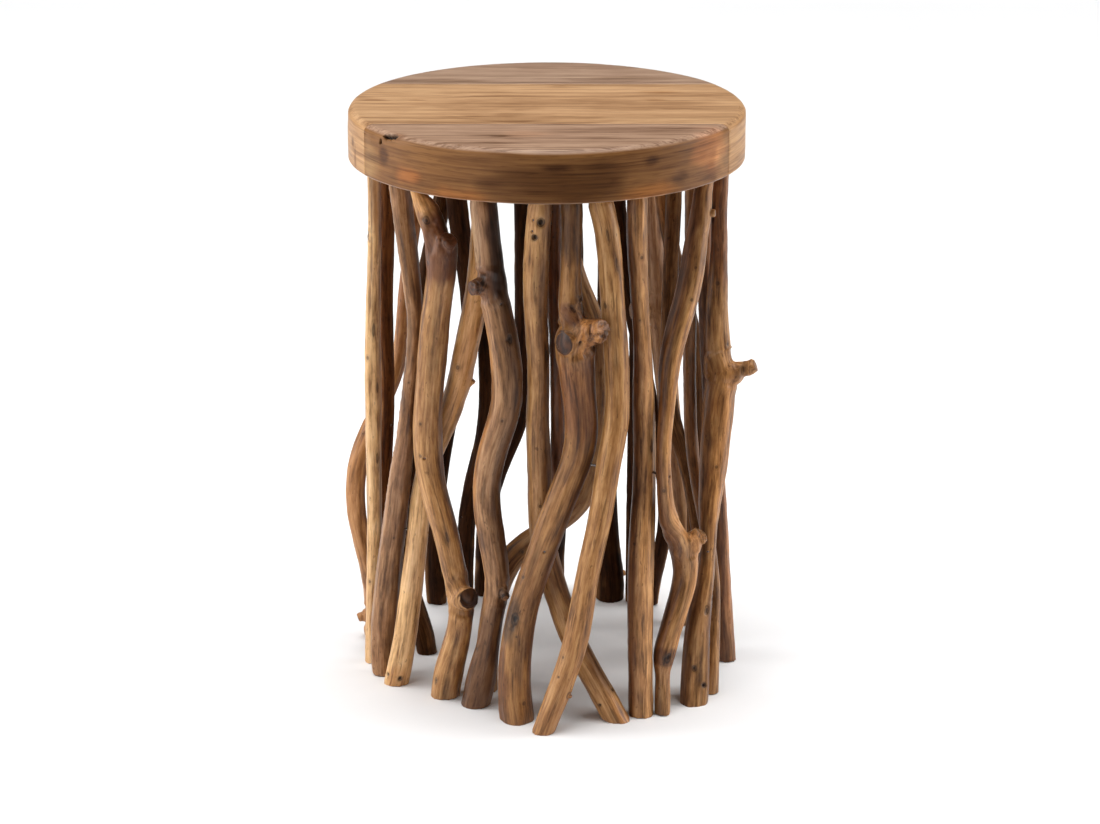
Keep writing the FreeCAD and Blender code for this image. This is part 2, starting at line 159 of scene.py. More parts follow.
def vertex_normals(mesh: bpy.types.Mesh) -> np.ndarray:
    """Outward directions at a mesh's vertices.

    Args:
        mesh: Mesh to read.

    Returns:
        One unit vector for each vertex.
    """
    flat = np.empty(len(mesh.vertices) * 3)
    mesh.vertex_normals.foreach_get("vector", flat)
    return flat.reshape(-1, 3)


def store(mesh: bpy.types.Mesh, name: str, kind: str, values: np.ndarray) -> None:
    """Keep values on a mesh's vertices for its material.

    Args:
        mesh: Mesh to change.
        name: Name of the attribute.
        kind: Blender's type of the attribute.
        values: One row for each vertex.
    """
    field = {"FLOAT": "value", "FLOAT_VECTOR": "vector", "FLOAT_COLOR": "color"}[kind]
    attribute = mesh.attributes.new(name, kind, "POINT")
    attribute.data.foreach_set(field, values.astype(np.float32).ravel())


def cad_copy(node: str) -> bmesh.types.BMesh:
    """Closed working copy of a CAD node's mesh.

    Args:
        node: Name of the node.

    Returns:
        The copy, with the vertices that its faces share merged.
    """
    body = bmesh.new()
    body.from_mesh(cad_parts[node].data)
    bmesh.ops.remove_doubles(body, verts=body.verts[:], dist=MERGE)
    return body


def place_piece(mesh: bpy.types.Mesh, node: str, material: bpy.types.Material) -> bpy.types.Object:
    """Put a finished mesh in the scene in place of a CAD node.

    Args:
        mesh: The finished mesh.
        node: CAD node that the piece stands for.
        material: Finish of the piece.

    Returns:
        The new piece.
    """
    mesh.materials.clear()
    mesh.materials.append(material)
    mesh.shade_smooth()
    piece = bpy.data.objects.new(f"{node}_wood", mesh)
    bpy.context.scene.collection.objects.link(piece)
    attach(piece, "root")
    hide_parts(node)
    return piece


@dataclass(frozen=True)
class Layer:
    """One noise of a finish: its lumps per metre along each axis, its finer layers and their weight."""

    scale: Triple
    detail: float
    rough: float = 0.55


class Wiring:
    """Nodes of one material, wired up step by step."""

    # Places of the Mix node's sockets for colours, whose names its sockets for numbers share.
    UNDER, OVER, MIXED = 6, 7, 2

    def __init__(self, name: str) -> None:
        """Start a material.

        Args:
            name: Name of the material.
        """
        self.material = bpy.data.materials.new(name)
        self.material.use_nodes = True
        self.tree = self.material.node_tree
        self.shader = self.tree.nodes["Principled BSDF"]

    def feed(self, socket: Socket, value: object) -> None:
        """Link an output to a socket, or set the socket to a constant.

        Args:
            socket: Input to feed.
            value: Output socket or constant.
        """
        if isinstance(value, Socket):
            self.tree.links.new(value, socket)
        elif isinstance(value, tuple) and len(socket.default_value) == 4:
            socket.default_value = (*value, 1.0)
        else:
            socket.default_value = value

    def attribute(self, name: str, output: str) -> Socket:
        """Values kept on the mesh.

        Args:
            name: Name of the attribute.
            output: Which output to read: Color, Vector or Fac.

        Returns:
            That output.
        """
        node = self.tree.nodes.new("ShaderNodeAttribute")
        node.attribute_name = name
        return node.outputs[output]

    def object_place(self) -> Socket:
        """Place of the shaded point in the piece's own frame."""
        return self.tree.nodes.new("ShaderNodeTexCoord").outputs["Object"]

    def scaled(self, vector: Socket, scale: Triple, shift: Triple = (0.0, 0.0, 0.0)) -> Socket:
        """A place stretched and shifted along each axis.

        Args:
            vector: Place.
            scale: Stretch along each axis.
            shift: Shift after the stretch.

        Returns:
            The new place.
        """
        node = self.tree.nodes.new("ShaderNodeMapping")
        self.feed(node.inputs["Vector"], vector)
        node.inputs["Scale"].default_value = scale
        node.inputs["Location"].default_value = shift
        return node.outputs["Vector"]

    def length(self, vector: Socket) -> Socket:
        """Length of a vector.

        Args:
            vector: Vector to measure.

        Returns:
            Its length.
        """
        node = self.tree.nodes.new("ShaderNodeVectorMath")
        node.operation = "LENGTH"
        self.feed(node.inputs[0], vector)
        return node.outputs["Value"]

    def noise(self, vector: Socket, layer: Layer) -> Socket:
        """Noise from 0 to 1.

        Args:
            vector: Place.
            layer: Sort of noise.

        Returns:
            The noise.
        """
        node = self.tree.nodes.new("ShaderNodeTexNoise")
        self.feed(node.inputs["Vector"], self.scaled(vector, layer.scale))
        node.inputs["Scale"].default_value = 1.0
        node.inputs["Detail"].default_value = layer.detail
        node.inputs["Roughness"].default_value = layer.rough
        return node.outputs["Fac"]

    def math(self, operation: str, *values: object) -> Socket:
        """A sum or another operation on numbers.

        Args:
            operation: Blender's name of the operation.
            values: Its inputs.

        Returns:
            The result.
        """
        node = self.tree.nodes.new("ShaderNodeMath")
        node.operation = operation
        for socket, value in zip(node.inputs, values):
            self.feed(socket, value)
        return node.outputs[0]

    def weighed(self, *parts: tuple[Socket, float]) -> Socket:
        """Numbers added up, each with its weight.

        Args:
            parts: Numbers and their weights.

        Returns:
            The sum.
        """
        (first, weight), *others = parts
        total = self.math("MULTIPLY", first, weight)
        for value, weight in others:
            total = self.math("MULTIPLY_ADD", value, weight, total)
        return total

    def rise(self, value: Socket, low: float, high: float, end: float = 1.0) -> Socket:
        """Soft rise from 0 at low to an end value at high.

        Args:
            value: Number to weigh.
            low: Value up to which the result is 0.
            high: Value from which the result is the end value.
            end: Result at high.

        Returns:
            The weight.
        """
        node = self.tree.nodes.new("ShaderNodeMapRange")
        node.interpolation_type = "SMOOTHSTEP"
        self.feed(node.inputs["Value"], value)
        node.inputs["From Min"].default_value = low
        node.inputs["From Max"].default_value = high
        node.inputs["To Max"].default_value = end
        return node.outputs["Result"]

    def ramp(self, value: Socket, *stops: tuple[float, Colour]) -> Socket:
        """Colours along a number.

        Args:
            value: Number from 0 to 1.
            stops: Places and colours of the ramp.

        Returns:
            The colour.
        """
        node = self.tree.nodes.new("ShaderNodeValToRGB")
        band = node.color_ramp.elements
        while len(band) < len(stops):
            band.new(1.0)
        for element, (place, colour) in zip(band, stops):
            element.position = place
            element.color = (*colour, 1.0)
        self.feed(node.inputs["Fac"], value)
        return node.outputs["Color"]

    def mix(self, share: object, under: object, over: object, blend: str = "MIX") -> Socket:
        """One colour laid over another.

        Args:
            share: How much of the upper colour shows.
            under: Lower colour.
            over: Upper colour.
            blend: Blender's name of the way they mix.

        Returns:
            The mixed colour.
        """
        node = self.tree.nodes.new("ShaderNodeMix")
        node.data_type = "RGBA"
        node.blend_type = blend
        self.feed(node.inputs[0], share)
        self.feed(node.inputs[self.UNDER], under)
        self.feed(node.inputs[self.OVER], over)
        return node.outputs[self.MIXED]

    def finish(self, colour: object, roughness: object, height: Socket, depth: float) -> bpy.types.Material:
        """Wire the surface and return the material.

        Args:
            colour: Colour of the surface.
            roughness: Its roughness.
            height: Height of its fine relief, from 0 to 1.
            depth: Depth of the relief in metres.

        Returns:
            The finished material.
        """
        bump = self.tree.nodes.new("ShaderNodeBump")
        bump.inputs["Strength"].default_value = 1.0
        bump.inputs["Distance"].default_value = depth
        self.feed(bump.inputs["Height"], height)
        self.feed(self.shader.inputs["Normal"], bump.outputs["Normal"])
        self.feed(self.shader.inputs["Base Color"], colour)
        self.feed(self.shader.inputs["Roughness"], roughness)
        return self.material


@dataclass(frozen=True)
class BranchFinish:
    """Varnished peeled wood of a branch, from its palest to its darkest streaks.

    A rise says where an effect starts and where it is full on its noise, and its share there.
    """

    name: str
    pale: Colour
    mid: Colour
    dark: Colour
    knot: Colour = (0.03, 0.012, 0.006)
    roughness: float = 0.40
    sheen: float = 0.34

    FIBRES = Layer((520.0, 520.0, 38.0), 5.0, 0.65)
    STREAKS = Layer((170.0, 170.0, 15.0), 5.0, 0.6)
    CLOUDS = Layer((42.0, 42.0, 15.0), 2.0)
    MOTTLE = Layer((120.0, 120.0, 48.0), 5.0, 0.65)
    PORES = Layer((480.0, 480.0, 170.0), 2.0)
    LINES = Layer((290.0, 290.0, 19.0), 4.0, 0.6)
    STOPS = (0.40, 0.495, 0.575)
    BLUSH = (0.72, 0.66, 0.70)
    BLUSH_RISE = (0.46, 0.66, 0.55)
    LINE_RISE = (0.60, 0.66, 0.65)
    PORE_RISE = (0.64, 0.70, 0.65)
    PATCH_RISE = (0.44, 0.56)
    KNOT_RISE = (0.05, 0.85, 0.93)
    KNOT_RINGS = 21.0
    KNOT_RAGGED = 5.0
    KNOT_CONTRAST = (0.22, 0.86)
    END_RINGS = 3600.0
    END_RAGGED = 4.0
    END_CONTRAST = (0.3, 0.5)
    ROUGH_RANGE = 0.3
    RELIEF_DEPTH = 0.5 * MM

    def material(self) -> bpy.types.Material:
        """The finish as a material, made on first use.

        Returns:
            The material.
        """
        made = bpy.data.materials.get(self.name)
        if made is not None:
            return made
        wire = Wiring(self.name)
        grain = wire.attribute("grain", "Vector")
        fibres = wire.noise(grain, self.FIBRES)
        streaks = wire.noise(grain, self.STREAKS)
        clouds = wire.noise(grain, self.CLOUDS)
        mottle = wire.noise(grain, self.MOTTLE)
        pores = wire.noise(grain, self.PORES)
        lines = wire.noise(grain, self.LINES)
        body = wire.weighed((streaks, 0.32), (fibres, 0.38), (clouds, 0.13), (mottle, 0.17))
        wood = wire.ramp(body, *zip(self.STOPS, (self.dark, self.mid, self.pale)))
        wood = wire.mix(wire.rise(clouds, *self.BLUSH_RISE), wood, self.BLUSH, "MULTIPLY")
        wood = wire.mix(wire.rise(lines, *self.LINE_RISE), wood, self.dark)
        specks = wire.math("MULTIPLY", wire.rise(pores, *self.PORE_RISE), wire.rise(mottle, *self.PATCH_RISE))
        wood = wire.mix(specks, wood, self.dark)
        knot = wire.attribute("knot", "Fac")
        rings = wire.math("SINE", wire.weighed((knot, self.KNOT_RINGS), (fibres, self.KNOT_RAGGED)))
        shade = wire.math("MULTIPLY", knot, wire.math("MULTIPLY_ADD", rings, *self.KNOT_CONTRAST))
        wood = wire.mix(wire.rise(shade, *self.KNOT_RISE), wood, self.knot)
        wood = wire.mix(wire.attribute("cut", "Fac"), wood, self.end_grain(wire, grain, fibres))
        wood = wire.mix(1.0, wood, wire.attribute("tint", "Color"), "MULTIPLY")
        relief = wire.weighed((lines, -0.4), (fibres, 0.5), (mottle, 0.7))
        roughness = wire.math("MULTIPLY_ADD", mottle, self.ROUGH_RANGE, self.roughness - self.ROUGH_RANGE / 2)
        wire.shader.inputs["Specular IOR Level"].default_value = self.sheen
        return wire.finish(wood, roughness, relief, self.RELIEF_DEPTH)

    def end_grain(self, wire: Wiring, grain: Socket, fibres: Socket) -> Socket:
        """Colour of a sawn limb: dark growth rings round its middle.

        Args:
            wire: Material being made.
            grain: Place along and across the limb.
            fibres: Fine noise that roughens the rings.

        Returns:
            The colour.
        """
        out = wire.length(wire.scaled(grain, (1.0, 1.0, 0.0)))
        waves = wire.math("SINE", wire.weighed((out, self.END_RINGS), (fibres, self.END_RAGGED)))
        rings = wire.math("MULTIPLY_ADD", waves, *self.END_CONTRAST)
        return wire.ramp(rings, (0.2, self.dark), (0.9, self.mid))


@dataclass(frozen=True)
class BoardFinish:
    """Satin plank wood with its growth rings about an axis along X, at the pith's Y and Z.

    A rise says where an effect starts and where it is full on its noise, and its share there.
    """

    name: str
    pale: Colour
    mid: Colour
    dark: Colour
    pith: tuple[float, float]
    ring_width: float
    roughness: float = 0.50
    sheen: float = 0.16

    FIBRES = Layer((17.0, 620.0, 620.0), 4.0, 0.6)
    STREAKS = Layer((3.5, 150.0, 150.0), 3.0)
    CLOUDS = Layer((11.0, 26.0, 26.0), 3.0)
    PORES = Layer((70.0, 900.0, 900.0), 1.0)
    LINES = Layer((3.5, 230.0, 230.0), 4.0, 0.65)
    DASHES = Layer((11.0, 320.0, 320.0), 3.0)
    STOPS = (0.37, 0.49, 0.59)
    LINE_RISE = (0.56, 0.61, 0.5)
    DASH_RISE = (0.59, 0.65, 0.6)
    PORE_RISE = (0.60, 0.72, 0.35)
    RING_WANDER = 26.0
    RIM_STRENGTH = 0.5
    ROUGH_RANGE = 0.3
    ROUGH_DROP = 0.1
    RELIEF_DEPTH = 0.22 * MM

    def material(self) -> bpy.types.Material:
        """The finish as a material, made on first use.

        Returns:
            The material.
        """
        made = bpy.data.materials.get(self.name)
        if made is not None:
            return made
        wire = Wiring(self.name)
        face, face_height = self.planed(wire, wire.object_place(), 1.0)
        edge, edge_height = self.planed(wire, wire.attribute("grain", "Vector"), self.RIM_STRENGTH)
        rim = wire.attribute("rim", "Fac")
        wood = wire.mix(rim, face, edge)
        wood = wire.mix(1.0, wood, wire.attribute("tint", "Color"), "MULTIPLY")
        height = wire.math("MULTIPLY_ADD", rim, wire.math("SUBTRACT", edge_height, face_height), face_height)
        roughness = wire.math("MULTIPLY_ADD", height, self.ROUGH_RANGE, self.roughness - self.ROUGH_DROP)
        wire.shader.inputs["Specular IOR Level"].default_value = self.sheen
        return wire.finish(wood, roughness, height, self.RELIEF_DEPTH)

    def planed(self, wire: Wiring, place: Socket, strength: float) -> tuple[Socket, Socket]:
        """Planed wood with its grain along X.

        Args:
            wire: Material being made.
            place: Place along and across the grain.
            strength: How plainly the dark lines show.

        Returns:
            Its colour and its height.
        """
        fibres = wire.noise(place, self.FIBRES)
        streaks = wire.noise(place, self.STREAKS)
        clouds = wire.noise(place, self.CLOUDS)
        pores = wire.noise(place, self.PORES)
        lines = wire.noise(place, self.LINES)
        dashes = wire.noise(place, self.DASHES)
        pith_y, pith_z = self.pith
        far = wire.length(wire.scaled(place, (0.0, 1.0, 1.0), (0.0, -pith_y, -pith_z)))
        turns = wire.weighed((far, math.tau / self.ring_width), (clouds, self.RING_WANDER))
        rings = wire.math("SINE", turns)
        body = wire.weighed((streaks, 0.34), (fibres, 0.42), (clouds, 0.24), (rings, 0.022))
        wood = wire.ramp(body, *zip(self.STOPS, (self.dark, self.mid, self.pale)))
        for marks, (low, high, share) in ((lines, self.LINE_RISE), (dashes, self.DASH_RISE)):
            wood = wire.mix(wire.rise(marks, low, high, share * strength), wood, self.dark)
        wood = wire.mix(wire.rise(pores, *self.PORE_RISE), wood, self.dark)
        return wood, wire.weighed((fibres, 0.6), (dashes, -0.4))


PALE_TAN = BranchFinish("branch_pale_tan", (0.87, 0.575, 0.30), (0.685, 0.40, 0.172), (0.21, 0.09, 0.03))
GOLDEN = BranchFinish("branch_golden", (0.60, 0.335, 0.135), (0.41, 0.195, 0.066), (0.115, 0.044, 0.013))
ORANGE_TAN = BranchFinish(
    "branch_orange_tan", (0.56, 0.29, 0.12), (0.42, 0.19, 0.065), (0.17, 0.066, 0.02), roughness=0.38
)
BROWN = BranchFinish("branch_brown", (0.54, 0.29, 0.115), (0.34, 0.16, 0.055), (0.09, 0.036, 0.011))
GREY_BROWN = BranchFinish("branch_grey_brown", (0.48, 0.265, 0.13), (0.31, 0.15, 0.063), (0.095, 0.04, 0.016))
RED_BROWN = BranchFinish("branch_red_brown", (0.42, 0.185, 0.068), (0.25, 0.10, 0.034), (0.075, 0.027, 0.009))
# Near-black wood of the branches that stand in the shade of others: painted shade, not the wood's own colour.
DARK = BranchFinish(
    "branch_dark", (0.19, 0.086, 0.032), (0.10, 0.042, 0.015), (0.032, 0.012, 0.005), sheen=0.04
)
SHADED = BranchFinish(
    "branch_shaded", (0.46, 0.235, 0.09), (0.29, 0.132, 0.045), (0.08, 0.031, 0.01), roughness=0.6, sheen=0.05
)

GOLDEN_BOARD = BoardFinish(
    "board_golden", (0.54, 0.33, 0.175), (0.42, 0.24, 0.121), (0.20, 0.095, 0.04),
    pith=(-0.01, 0.30), ring_width=4.2 * MM,
)
PINK_BOARD = BoardFinish(
    "board_pink_brown", (0.44, 0.285, 0.19), (0.335, 0.204, 0.132), (0.135, 0.066, 0.034),
    pith=(-0.135, 0.425), ring_width=4.6 * MM,
)
GREY_BOARD = BoardFinish(
    "board_grey_brown", (0.40, 0.27, 0.185), (0.315, 0.20, 0.136), (0.145, 0.08, 0.046),
    pith=(0.14, 0.33), ring_width=5.0 * MM,
)


@dataclass(frozen=True)
class MarkForm:
    """How a sort of mark is shaped, and how dark it is.

    Swell, sink and roughness are shares of its radius, and tall is its length along the grain to its width.
    """

    swell: float
    sink: float
    rough: float
    tall: float
    dark: float


class MarkKind(Enum):
    """Sorts of marks on a branch, each with its form."""

    KNOT = MarkForm(swell=0.20, sink=0.22, rough=0.06, tall=1.25, dark=0.62)
    SCAR = MarkForm(swell=0.05, sink=0.22, rough=0.16, tall=1.6, dark=0.85)
    HOLE = MarkForm(swell=0.10, sink=0.95, rough=0.0, tall=1.0, dark=1.0)
    STREAK = MarkForm(swell=0.0, sink=0.12, rough=0.04, tall=5.0, dark=0.7)
    TORN = MarkForm(swell=0.0, sink=0.0, rough=0.26, tall=1.0, dark=0.25)
    BOSS = MarkForm(swell=0.5, sink=0.0, rough=0.06, tall=1.3, dark=0.0)


@dataclass(frozen=True)
class Mark:
    """A knot, scar or other mark: its height as a share of the branch, the side it faces and its radius.

    The side is in degrees, 0 to the front and 90 to the right. The radius is in millimetres.
    """

    height: float
    side: float
    radius: float
    kind: MarkKind = MarkKind.KNOT


@dataclass(frozen=True)
class Tint:
    """A patch on a branch that multiplies its colour, for real tints and for painted light and shade: its
    middle, its reach up and round, and what it multiplies by.

    Heights are shares of the branch, and sides are in degrees, 0 to the front and 90 to the right.
    """

    height: float
    side: float
    tall: float
    wide: float
    colour: Colour


@dataclass(frozen=True)
class Cut:
    """The sawn end of a limb: its middle, the way it faces and its radius."""

    middle: np.ndarray
    way: np.ndarray
    radius: float


@dataclass(frozen=True)
class Place:
    """Where vertices are on a branch: along it, to the right and front of its centreline, and how high.

    Centre is the point of the centreline that is nearest to each vertex, and height is that point's height.
    """

    along: np.ndarray
    right: np.ndarray
    front: np.ndarray
    centre: np.ndarray
    height: np.ndarray

    @property
    def out(self) -> np.ndarray:
        """Distance from the centreline."""
        return np.hypot(self.right, self.front)

    @property
    def side(self) -> np.ndarray:
        """Side that each vertex faces, in degrees."""
        return np.degrees(np.arctan2(self.right, self.front))

    def turn_from(self, side: float) -> np.ndarray:
        """How far round from a side each vertex is, in degrees from -180 to 180."""
        return (self.side - side + 180.0) % 360.0 - 180.0


class Spine:
    """Centreline of a branch, followed up from its foot through level slices of its vertices."""

    STEP = 3 * MM
    SLICE = 0.6
    FIT_ROUNDS = 3
    SEARCH = 1.3
    SLACK = 1.5 * MM
    GROWTH = 0.07
    AVERAGE_REACH = 3

    def __init__(self, points: np.ndarray) -> None:
        """Follow the branch.

        Args:
            points: Vertices of the branch.
        """
        foot = points[np.abs(points[:, 2] - self.STEP) < self.STEP / 2][:, :2]
        middle = (foot.min(0) + foot.max(0)) / 2
        reach = np.hypot(*(foot - middle).T).mean()
        drift = np.zeros(2)
        middles = []
        for level in np.arange(self.STEP, TOP_UNDERSIDE, self.STEP):
            layer = points[np.abs(points[:, 2] - level) < self.STEP * self.SLICE][:, :2]
            guess = middle + drift
            for _ in range(self.FIT_ROUNDS):
                near = layer[np.hypot(*(layer - guess).T) < self.SEARCH * reach + self.SLACK]
                guess, found = self.fit_circle(near)
            reach = np.clip(found, (1.0 - self.GROWTH) * reach, (1.0 + self.GROWTH) * reach)
            drift = (drift + guess - middle) / 2
            middle = guess
            middles.append((*middle, level))
        self.middles = averaged(np.array(middles), self.AVERAGE_REACH, mode="reflect", reflect_type="odd")
        steps = np.linalg.norm(np.diff(self.middles, axis=0), axis=1)
        self.lengths = np.concatenate(([0.0], np.cumsum(steps)))
        ways = np.gradient(self.middles, axis=0)
        self.ways = ways / np.linalg.norm(ways, axis=1, keepdims=True)

    @staticmethod
    def fit_circle(points: np.ndarray) -> tuple[np.ndarray, float]:
        """Circle nearest to some points on a level slice.

        Args:
            points: Points, one row of two each.

        Returns:
            Its middle and its radius.
        """
        mean = points.mean(0)
        moved = points - mean
        rows = np.column_stack((2 * moved, np.ones(len(moved))))
        answer = np.linalg.lstsq(rows, (moved**2).sum(1), rcond=None)[0]
        return answer[:2] + mean, math.sqrt(max(answer[2] + answer[0] ** 2 + answer[1] ** 2, 0.0))

    def between(self, table: np.ndarray, heights: np.ndarray) -> np.ndarray:
        """Values along the spine at some heights.

        Args:
            table: Values at the spine's levels, one row each.
            heights: Heights to read them at.

        Returns:
            One row for each height.
        """
        levels = self.middles[:, 2]
        return np.column_stack([np.interp(heights, levels, column) for column in table.T])

    def locate(self, points: np.ndarray) -> Place:
        """Where some vertices are on the branch.

        Args:
            points: Vertices, one row of three each.

        Returns:
            Their places.
        """
        height = points[:, 2].copy()
        for _ in range(self.FIT_ROUNDS):
            way = self.between(self.ways, height)
            ahead = ((points - self.between(self.middles, height)) * way).sum(1)
            height = np.clip(height + ahead * way[:, 2], self.STEP, TOP_UNDERSIDE)
        way = self.between(self.ways, height)
        centre = self.between(self.middles, height)
        front = np.array((0.0, -1.0, 0.0)) + way * way[:, 1:2]
        front /= np.linalg.norm(front, axis=1, keepdims=True)
        right = np.cross(way, front)
        away = points - centre
        along = np.interp(height, self.middles[:, 2], self.lengths) + (away * way).sum(1)
        return Place(along, (away * right).sum(1), (away * front).sum(1), centre, height)


@dataclass(frozen=True)
class Nail:
    """One driven nail: its two ends."""

    start: np.ndarray
    end: np.ndarray

    @property
    def length(self) -> float:
        """Length of the nail."""
        return np.linalg.norm(self.end - self.start)

    @property
    def way(self) -> np.ndarray:
        """Direction from its start to its end."""
        return (self.end - self.start) / self.length

    def reversed(self) -> "Nail":
        """The same nail from its other end."""
        return Nail(self.end, self.start)

    def locate(self, points: np.ndarray) -> tuple[np.ndarray, np.ndarray]:
        """Where points are beside the nail.

        Args:
            points: Points, one row of three each.

        Returns:
            Their places along the nail from its start, and their distances from its axis.
        """
        along = (points - self.start) @ self.way
        return along, np.linalg.norm(points - self.start - along[:, None] * self.way, axis=1)


@cache
def driven_nails() -> tuple[Nail, ...]:
    """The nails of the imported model, each by its two ends.

    Returns:
        All the nails.
    """
    body = cad_copy("branch_nails")
    body.verts.index_update()
    left = set(body.verts)
    nails = []
    for first in body.verts:
        if first not in left:
            continue
        island = {first}
        edge = {first}
        while edge:
            edge = {other for vert in edge for link in vert.link_edges for other in link.verts} - island
            island |= edge
        left -= island
        points = np.array([vert.co for vert in sorted(island, key=lambda vert: vert.index)])
        middle = points.mean(0)
        way = np.linalg.svd(points - middle)[2][0]
        reach = (points - middle) @ way
        nails.append(Nail(middle + way * reach.min(), middle + way * reach.max()))
    body.free()
    return tuple(nails)


@dataclass(frozen=True)
class Branch:
    """One branch: its wood, how lumpy and fluted it is, and the marks, tints and painted light and shade on
    it.

    Its limbs count from the highest down: ends are the colours that their sawn ends multiply by, and blunt
    are the numbers of those that are rounded over. Raised is a height as a share of the branch, and how many
    millimetres higher the wood sits there. Fullness is its radius to that of its CAD node, and voxel is the
    size of its faces before they are smoothed.
    """

    node: str
    finish: BranchFinish
    seed: int
    marks: tuple[Mark, ...] = ()
    tints: tuple[Tint, ...] = ()
    ends: tuple[Colour, ...] = ()
    blunt: tuple[int, ...] = ()
    raised: tuple[float, float] = (0.0, 0.0)
    fullness: float = 1.05
    lump: float = 0.055
    flute: float = 0.045
    voxel: float = 1.0 * MM

    # Smoothing, in rounds and in shares of the way that each round goes.
    SMOOTH_ROUNDS, SMOOTH_RATE = 8, 0.5
    FILLET_ROUNDS, FILLET_RATE = 70, 0.6
    BLUNT_ROUNDS, BLUNT_REACH = 45, 5 * MM
    BLUNT_EDGE = (1.0, 0.7)

    # The foot and the head, which stay flat where they meet the floor and the top.
    FOOT_FLAT = 0.3 * MM
    HEAD_FADE = 1.5 * MM
    HEAD_CLEAR = 1 * MM
    HEAD_FREE = 4 * HEAD_CLEAR

    # What tells a limb's sawn end from the other faces.
    FLAT_ANGLE = math.radians(0.5)
    END_CORNERS = 12
    END_LEVEL = 0.999
    END_UNEVEN = 0.04
    END_RADIUS = 1.5 * MM
    END_MARGIN = 1.5 * MM
    END_BAND = 2 * MM
    END_FACING = (0.55, 0.85)
    FOOT_FACING = (-0.6, -0.9)

    NAIL_BORE = 1.12 * MM
    NAIL_REACH = 18 * MM
    NAIL_MARGIN = 4 * MM
    PIT_RADIUS = 1.3 * MM
    PIT_WALL = 0.6 * PIT_RADIUS
    PIT_FLOOR = 0.2 * MM

    # The skin and the limbs, in shares of the mean radius.
    RADIUS_STEP = 4 * MM
    RADIUS_BAND = 3 * MM
    RADIUS_SPREAD = 0.18
    SKIN_UNDER = (0.75, 0.88)
    SKIN_OVER = (1.22, 1.05)
    ROUNDING = 0.9
    LIMB_START = (1.06, 1.45)
    LIMB_WIDTH = 1.7
    LIMB_REACH = 32 * MM
    LIMB_SWELL = 0.3 * MM
    RAISED_REACH = 28 * MM

    # Sizes and seeds of the relief, and how far apart the grain of two limbs or branches is.
    LUMP_SIZE = (13 * MM, 13 * MM, 42 * MM)
    FLUTE_COUNT, FLUTE_LENGTH, FLUTE_SEED = 2.3, 70 * MM, 100
    FINE_SIZE, FINE_SEED = (3.2 * MM, 3.2 * MM, 9 * MM), 200
    FINE_HEIGHT = 0.2 * MM
    LIMB_GRAIN = 0.4
    BRANCH_GRAIN = 1.37

    # Edges of marks and of patches of tint and painted light and shade, and how much darker the wood grows in
    # the hollows.
    RAGGED = 0.22
    GRIT_SIZE = 2.6 * MM
    CORE, SHADOW = 0.5, 0.8
    TINT_SIZE, TINT_STRETCH, TINT_SEED = 5 * MM, 0.35, 300
    TINT_EDGE = (1.15, 0.55)
    DIRT, DIRT_HOLLOW = 0.45, (-0.01, -0.09)

    def build(self) -> bpy.types.Object:
        """Model, mark and dress the branch.

        Returns:
            The finished piece.
        """
        body = cad_copy(self.node)
        cuts = self.find_cuts(body)
        self.fill_bores(body)
        mesh = self.remeshed(body, cuts)
        points = coordinates(mesh)
        spine = Spine(points)
        mean = self.mean_radius(spine.locate(points)) * self.fullness
        self.soften(mesh, [cuts[number] for number in self.blunt])
        points = coordinates(mesh)
        place = spine.locate(points)
        limb, grain = self.limbs(points, place, mean, cuts)
        points = self.rounded(points, place, mean, limb)
        points += vertex_normals(mesh) * (self.LIMB_SWELL * limb)[:, None]
        move_vertices(mesh, points)
        knot, sunk = self.marked(place, mean, spine)
        lift = self.relief(grain, place, mean, limb) + sunk
        normals = vertex_normals(mesh)
        moved = self.pitted(self.lifted(points, normals, lift))
        low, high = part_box(self.node)
        move_vertices(mesh, np.clip(moved, low, high))
        shares = self.cut_shares(points, normals, cuts)
        store(mesh, "grain", "FLOAT_VECTOR", grain + np.array((0.0, 0.0, self.seed * self.BRANCH_GRAIN)))
        store(mesh, "knot", "FLOAT", knot)
        store(mesh, "cut", "FLOAT", np.max(shares, axis=0))
        store(mesh, "tint", "FLOAT_COLOR", self.tinted(place, lift / mean, shares))
        return place_piece(mesh, self.node, self.finish.material())

    def find_cuts(self, body: bmesh.types.BMesh) -> list[Cut]:
        """The round sawn ends of the branch's limbs.

        Args:
            body: Closed copy of the CAD mesh.

        Returns:
            The cuts from the highest down, without the foot and the head.
        """
        flat = body.copy()
        bmesh.ops.dissolve_limit(flat, angle_limit=self.FLAT_ANGLE, verts=flat.verts[:], edges=flat.edges[:])
        cuts = []
        for face in flat.faces:
            level = abs(face.normal.z) > self.END_LEVEL
            if len(face.verts) < self.END_CORNERS or level or face.calc_center_median().z > TOP_UNDERSIDE:
                continue
            ring = np.array([vert.co for vert in face.verts])
            middle = ring.mean(0)
            spokes = np.linalg.norm(ring - middle, axis=1)
            if spokes.std() < self.END_UNEVEN * spokes.mean() and spokes.mean() > self.END_RADIUS:
                cuts.append(Cut(middle, np.array(face.normal), spokes.mean()))
        flat.free()
        return sorted(cuts, key=lambda cut: -cut.middle[2])

    def fill_bores(self, body: bmesh.types.BMesh) -> None:
        """Close the nails' bores, which the nails fill.

        Args:
            body: Closed copy of the CAD mesh.
        """
        points = np.array([vert.co for vert in body.verts])
        body.verts.index_update()
        walls = set()
        for nail in driven_nails():
            along, away = nail.locate(points)
            beside = (along > -self.NAIL_REACH) & (along < nail.length + self.NAIL_REACH)
            inside = (away < self.NAIL_BORE) & beside
            if inside.any():
                walls |= {face for face in body.faces if all(inside[vert.index] for vert in face.verts)}
        if walls:
            bmesh.ops.delete(body, geom=list(walls), context="FACES")
            bmesh.ops.holes_fill(body, edges=[edge for edge in body.edges if edge.is_boundary], sides=0)
            bmesh.ops.recalc_face_normals(body, faces=body.faces[:])

